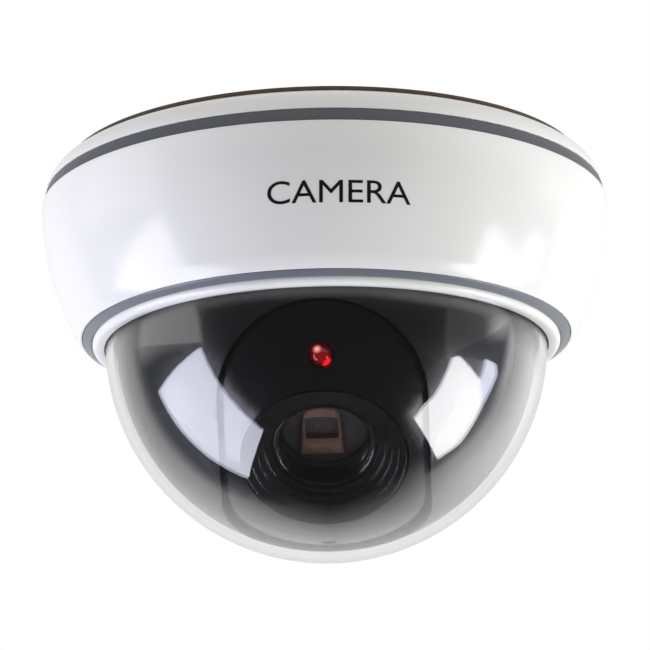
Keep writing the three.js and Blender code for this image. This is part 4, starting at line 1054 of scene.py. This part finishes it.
PLATE_BEHIND, PLATE_THICKNESS, PLATE_RADIUS = 4, 1, BARREL_BORE - CLEARANCE
WINDOW_WIDTH, WINDOW_HEIGHT = 5.9, 4.9
WINDOW_SHIFT = Matrix.Translation((-0.65 * MM, -0.8 * MM, 0))
plate_front = glass_at - LENS_EDGE - PLATE_BEHIND
plate_back = plate_front - PLATE_THICKNESS
plate = lathe([
    (0, plate_back), (PLATE_RADIUS, plate_back), (PLATE_RADIUS, plate_front), (0, plate_front),
], 96)
opening = bar(WINDOW_WIDTH, WINDOW_HEIGHT, plate_front - 2, plate_front + 2)
plate = soften(combine(plate, moved(opening, WINDOW_SHIFT)), 0.12)
lens_piece("light_trap", plate, "brown_plate", dark_plate, "aperture_plate")

# %% [markdown]
# ## The frame, the keeper and the filter
# A flared frame stands round the window, a polished ring holds the lens, and the filter is a pane.

# %% Frame, keeper and filter
# The frame round the window flares forwards; each loop below runs the same way round.
# Only its right half is listed, from the bottom to the top, because the left half is its mirror.
FRAME_HALVES = (
    ([(4.0, -5.3), (3.75, 1.0), (3.4, 2.9), (2.4, 3.9)], 4.3),
    ([(3.6, -3.4), (3.4, 0.8), (3.15, 2.6), (2.1, 2.9)], 3.0),
    ([(2.95, -2.45), (2.95, 0.8), (2.95, 2.45), (2.1, 2.45)], 2.45),
)
frame_outside, frame_lip, frame_window = [
    [(-half[0][0], half[0][1])] + half + [(0, top)] + [(-x, y) for x, y in reversed(half[1:])]
    for half, top in FRAME_HALVES
]
flare = bmesh.new()
loops = [
    [flare.verts.new(Vector((x, y, level)) * MM) for x, y in outline]
    for outline, level in ((frame_outside, plate_front + 0.05), (frame_outside, plate_front + 0.7),
                           (frame_lip, plate_front + 1.1), (frame_window, plate_front + 0.05))
]
for loop, following in zip(loops, loops[1:] + loops[:1]):
    for i in range(len(loop)):
        j = (i + 1) % len(loop)
        flare.faces.new((loop[i], loop[j], following[j], following[i]))
clean(flare)
flare = moved(soften(flare, 0.08), WINDOW_SHIFT)
lens_piece("window_frame", flare, "brown_plate", brown_plate)

keeper = lathe([(9.95, glass_at + rise - 0.2), (11.1, glass_at + rise - 0.2)]
               + [(10.55 + x, glass_at + rise + 0.5 + y) for x, y in arc(0.55, 0, 0, 180, 12)]
               + [(9.95, glass_at + rise + 0.4)], 128)
lens_piece("lens_keeper", keeper, "black_abs", ball_abs)

PANE_SIDE, PANE_THICKNESS = 10, 0.8
pane_front = plate_back - CLEARANCE
pane = soften(bar(PANE_SIDE, PANE_SIDE, pane_front - PANE_THICKNESS, pane_front), 0.12)
lens_piece("filter_pane", pane, "filter_glass", filter_glass, "ir_filter")

# %% [markdown]
# ## The status lamp
# A lamp like this is cast in red epoxy with a domed end, with a pale cup and the lead frame inside.
# Its pale glint at the upper left is a painted highlight in its colour and emission, and its red glow
# at the lower right is painted light in its emission. The lamp pokes out of a black ring in the ball.

# %% Lamp
LAMP_RADIUS, LAMP_LENGTH, LAMP_FLANGE = 2.5, 8.5, 2.9
RING_RADIUS = 4.4
lamp_tip = BALL_RADIUS + 0.1
lamp_back = lamp_tip - LAMP_LENGTH
shoulder = lamp_tip - LAMP_RADIUS
round_end = arc(LAMP_RADIUS, shoulder, 90, 0, 16)
round_end[0] = (0, lamp_tip)
lamp_middle = aimed(LAMP_AIM) @ Vector((0, 0, lamp_tip * MM))

red_epoxy, skin = start_material("red_clear_epoxy", "#8E0C0E", 0.04, 1.55)
tree, shader, place = skin
shader.inputs["Transmission Weight"].default_value = 0.35

# A spot is 1 near a place on the lamp's front and 0 further off. The spots paint a highlight at the
# upper left and a glow of light at the far wall, the lower right, into the colour and the emission.
SPOTS = {
    # right, up, inner and outer, in millimetres from the lamp's middle
    "painted_glint": (-0.75, 1.45, 0.1, 1.25),
    "core": (-0.2, 0.2, 1.4, 1.9),
    "painted_far_glow": (1.3, -1.2, 0.5, 1.35),
}
flat_place = add_node(tree, "VectorMath", {"operation": "MULTIPLY"}, {1: (1, 0, 1)}, {0: place})
spots = {}
for name, (right, up, inner, outer) in SPOTS.items():
    point = (lamp_middle.x + right * MM, 0, lamp_middle.z + up * MM)
    away = add_node(
        tree, "VectorMath", {"operation": "DISTANCE"}, {1: point}, {0: flat_place.outputs["Vector"]},
    )
    spots[name] = add_node(
        tree, "MapRange", {"interpolation_type": "SMOOTHSTEP"},
        {"From Min": inner * MM, "From Max": outer * MM, "To Min": 1.0, "To Max": 0.0},
        {"Value": away.outputs["Value"]},
    ).outputs["Result"]

# Painted highlight: the colour and the glow turn pale pink at the glint.
tones = add_node(
    tree, "Mix", {"data_type": "RGBA"}, {6: linear("#A81216"), 7: linear("#FFC4B8")}, {0: spots["painted_glint"]},
)
tree.links.new(tones.outputs[2], shader.inputs["Base Color"])
glow_tones = add_node(
    tree, "Mix", {"data_type": "RGBA"}, {6: linear("#FF1A28"), 7: linear("#FFB9AC")}, {0: spots["painted_glint"]},
)
tree.links.new(glow_tones.outputs[2], shader.inputs["Emission Color"])
outside = add_node(tree, "Math", {"operation": "SUBTRACT"}, {0: 1.0}, {1: spots["core"]})
crescent = add_node(
    tree, "Math", {"operation": "MULTIPLY"}, None,
    {0: outside.outputs["Value"], 1: spots["painted_far_glow"]},
)
# Painted light: a red glow at the lower right, given as emission.
painted_glow_strength = add_node(
    tree, "Math", {"operation": "MULTIPLY"}, {1: 1.3}, {0: crescent.outputs["Value"]},
)
glow_up = add_node(
    tree, "Math", {"operation": "MULTIPLY_ADD"}, {1: 0.7},
    {0: spots["painted_glint"], 2: painted_glow_strength.outputs["Value"]},
)
tree.links.new(glow_up.outputs["Value"], shader.inputs["Emission Strength"])
grain(skin, 1.2, 0.03)

led = lathe(round_end + [
    (LAMP_RADIUS, lamp_back + 1), (LAMP_FLANGE, lamp_back + 1), (LAMP_FLANGE, lamp_back), (0, lamp_back),
], 64)
led = moved(led, aimed(LAMP_AIM))
led_piece = make_piece("red_lamp", led, "tilt_unit", "red_led", red_epoxy, "status_led")
led_piece.visible_shadow = False

cup_floor = shoulder - 2.2
cup = lathe([(0, cup_floor - 0.6), (1.3, cup_floor - 0.6), (1.3, cup_floor + 0.7), (1.15, cup_floor + 0.7),
             (0.5, cup_floor), (0, cup_floor)], 48)
make_piece("lamp_cup", moved(cup, aimed(LAMP_AIM)), "tilt_unit", "screw_steel", zinc_steel)

ring_low, ring_high = lamp_back + 1.3, BALL_RADIUS - BALL_WALL - 0.9
ring = soften(lathe([
    (LAMP_HOLE, ring_low), (RING_RADIUS, ring_low), (RING_RADIUS, ring_high), (LAMP_HOLE, ring_high),
], 64), 0.15)
make_piece("lamp_ring", moved(ring, aimed(LAMP_AIM)), "tilt_unit", "black_abs", hood_abs, "led_holder")

# %% [markdown]
# ## The small screw under the ball
# Its head is nearly flush with the ball, with a cross recess for the driver.

# %% Ball screw
HEAD_RADIUS, SHANK_RADIUS = 1.55, 0.9
RECESS_LENGTH, RECESS_WIDTH = 1.9, 0.4
head = lathe([
    (0, BALL_RADIUS - 0.2), (HEAD_RADIUS - 0.2, BALL_RADIUS - 0.25), (HEAD_RADIUS, BALL_RADIUS - 0.45),
    (HEAD_RADIUS, BALL_RADIUS - 1.2), (SHANK_RADIUS, BALL_RADIUS - 1.2), (SHANK_RADIUS, BALL_RADIUS - 6),
    (0, BALL_RADIUS - 6),
], 48)
for size in ((RECESS_LENGTH, RECESS_WIDTH), (RECESS_WIDTH, RECESS_LENGTH)):
    head = combine(head, bar(*size, BALL_RADIUS - 0.7, BALL_RADIUS + 1))
make_piece("cross_screw", moved(head, aimed(90)), "tilt_unit", "screw_steel", dull_steel, "ball_screw")

# %% [markdown]
# ## The back
# From behind we see a foam gasket that seals against the ceiling, with three holes for the ceiling
# screws and a larger one for the cable's rubber grommet.

# %% Gasket and grommet
HOLE_CIRCLE = 43                  # the ceiling screws and the cable share it
inlet = Matrix.Translation((0, HOLE_CIRCLE * MM, 0))
gasket_low, gasket_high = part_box("ceiling_gasket")
gasket_radius = gasket_high.x / MM - 0.4
gasket_under = gasket_low.z / MM
gasket = lathe([(0, gasket_under), (gasket_radius, gasket_under), (gasket_radius, 0), (0, 0)])
for turn in (30, 150, 270):
    spot = Matrix.Rotation(math.radians(turn), 4, "Z") @ Matrix.Translation((HOLE_CIRCLE * MM, 0, 0))
    gasket = drill(gasket, 2.6, -3, 2, spot)
gasket = drill(gasket, 7.6, -3, 2, inlet, 96)
# From the front the gasket's edge shows as a thin dark line above the cover; its tone is partly the foam's
# own and partly painted shade of the ceiling contact.
make_piece("foam_gasket", soften(gasket, 0.15), "base", "foam", gasket_foam_and_shade, "ceiling_gasket")

grommet = soften(lathe([
    (3.6, -0.1), (7, -0.1), (7, -0.7), (5.7, -0.7), (5.7, -3.4), (7, -3.4), (5.7, -4.9), (3.6, -4.9),
], 96), 0.15)
make_piece("rubber_grommet", moved(grommet, inlet), "base", "rubber_seal", seal_rubber, "cable_grommet")

# %% [markdown]
# ## The word on the cover
# A plain word, CAMERA, is pad-printed on the front in plain black letters. Pad printing follows the
# bowl, so the flat letters are sliced into narrow strips and every point is wrapped to the cover's
# own radius at its height.

# %% Lettering
WORD_WIDTH, WORD_HEIGHT = 30.2, 4.6
WORD_LEVEL, WORD_TURN = -24.3, 4.7
INK = 0.04                        # thickness of the print

letters = bpy.data.curves.new("word", "FONT")
letters.body = "CAMERA"
letters.resolution_u = 8
lent = bpy.data.objects.new("word", letters)
bpy.context.scene.collection.objects.link(lent)
bpy.context.view_layer.update()
flat = bpy.data.meshes.new_from_object(lent.evaluated_get(bpy.context.evaluated_depsgraph_get()))
bpy.data.objects.remove(lent)
word = bmesh.new()
word.from_mesh(flat)
low = [min(v.co[axis] for v in word.verts) for axis in (0, 1)]
high = [max(v.co[axis] for v in word.verts) for axis in (0, 1)]
bmesh.ops.translate(word, verts=word.verts, vec=(-(low[0] + high[0]) / 2, -(low[1] + high[1]) / 2, 0))
stretch = (WORD_WIDTH / (high[0] - low[0]), WORD_HEIGHT / (high[1] - low[1]), 1)
bmesh.ops.scale(word, verts=word.verts, vec=stretch)
bmesh.ops.remove_doubles(word, verts=word.verts, dist=1e-4)
for axis, span in ((0, WORD_WIDTH), (1, WORD_HEIGHT)):
    for i in range(1, int(span)):
        normal = [0, 0, 0]
        normal[axis] = 1
        middle = [0, 0, 0]
        middle[axis] = i - span / 2
        everything = word.verts[:] + word.edges[:] + word.faces[:]
        bmesh.ops.bisect_plane(word, geom=everything, plane_co=middle, plane_no=normal)


def cover_radius(level):
    """The cover's outer radius at this height, read off the bowl's curve."""
    for (r0, h0), (r1, h1) in zip(bowl, bowl[1:]):
        if h1 <= level <= h0:
            return r0 + (r1 - r0) * (h0 - level) / (h0 - h1)
    return COVER_RADIUS


print_layer = bmesh.ops.extrude_face_region(word, geom=word.faces[:], use_keep_orig=True)
raised = [v for v in print_layer["geom"] if isinstance(v, bmesh.types.BMVert)]
bmesh.ops.translate(word, verts=raised, vec=(0, 0, INK))
for vert in word.verts:
    level = WORD_LEVEL + vert.co.y
    radius = cover_radius(level)
    turn = math.radians(WORD_TURN) + vert.co.x / radius
    radius += 0.01 + vert.co.z
    vert.co = Vector((radius * math.sin(turn), -radius * math.cos(turn), level)) * MM
bmesh.ops.recalc_face_normals(word, faces=word.faces)
make_piece("printed_word", word, "cover", "white_abs", print_ink)

# %% [markdown]
# ## Sizes, and the end
# The box round every visible piece of the model is measured and its size printed.

# %% Measure the model
low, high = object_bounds()
print("the model measures", [round(side / MM, 1) for side in high - low], "mm")
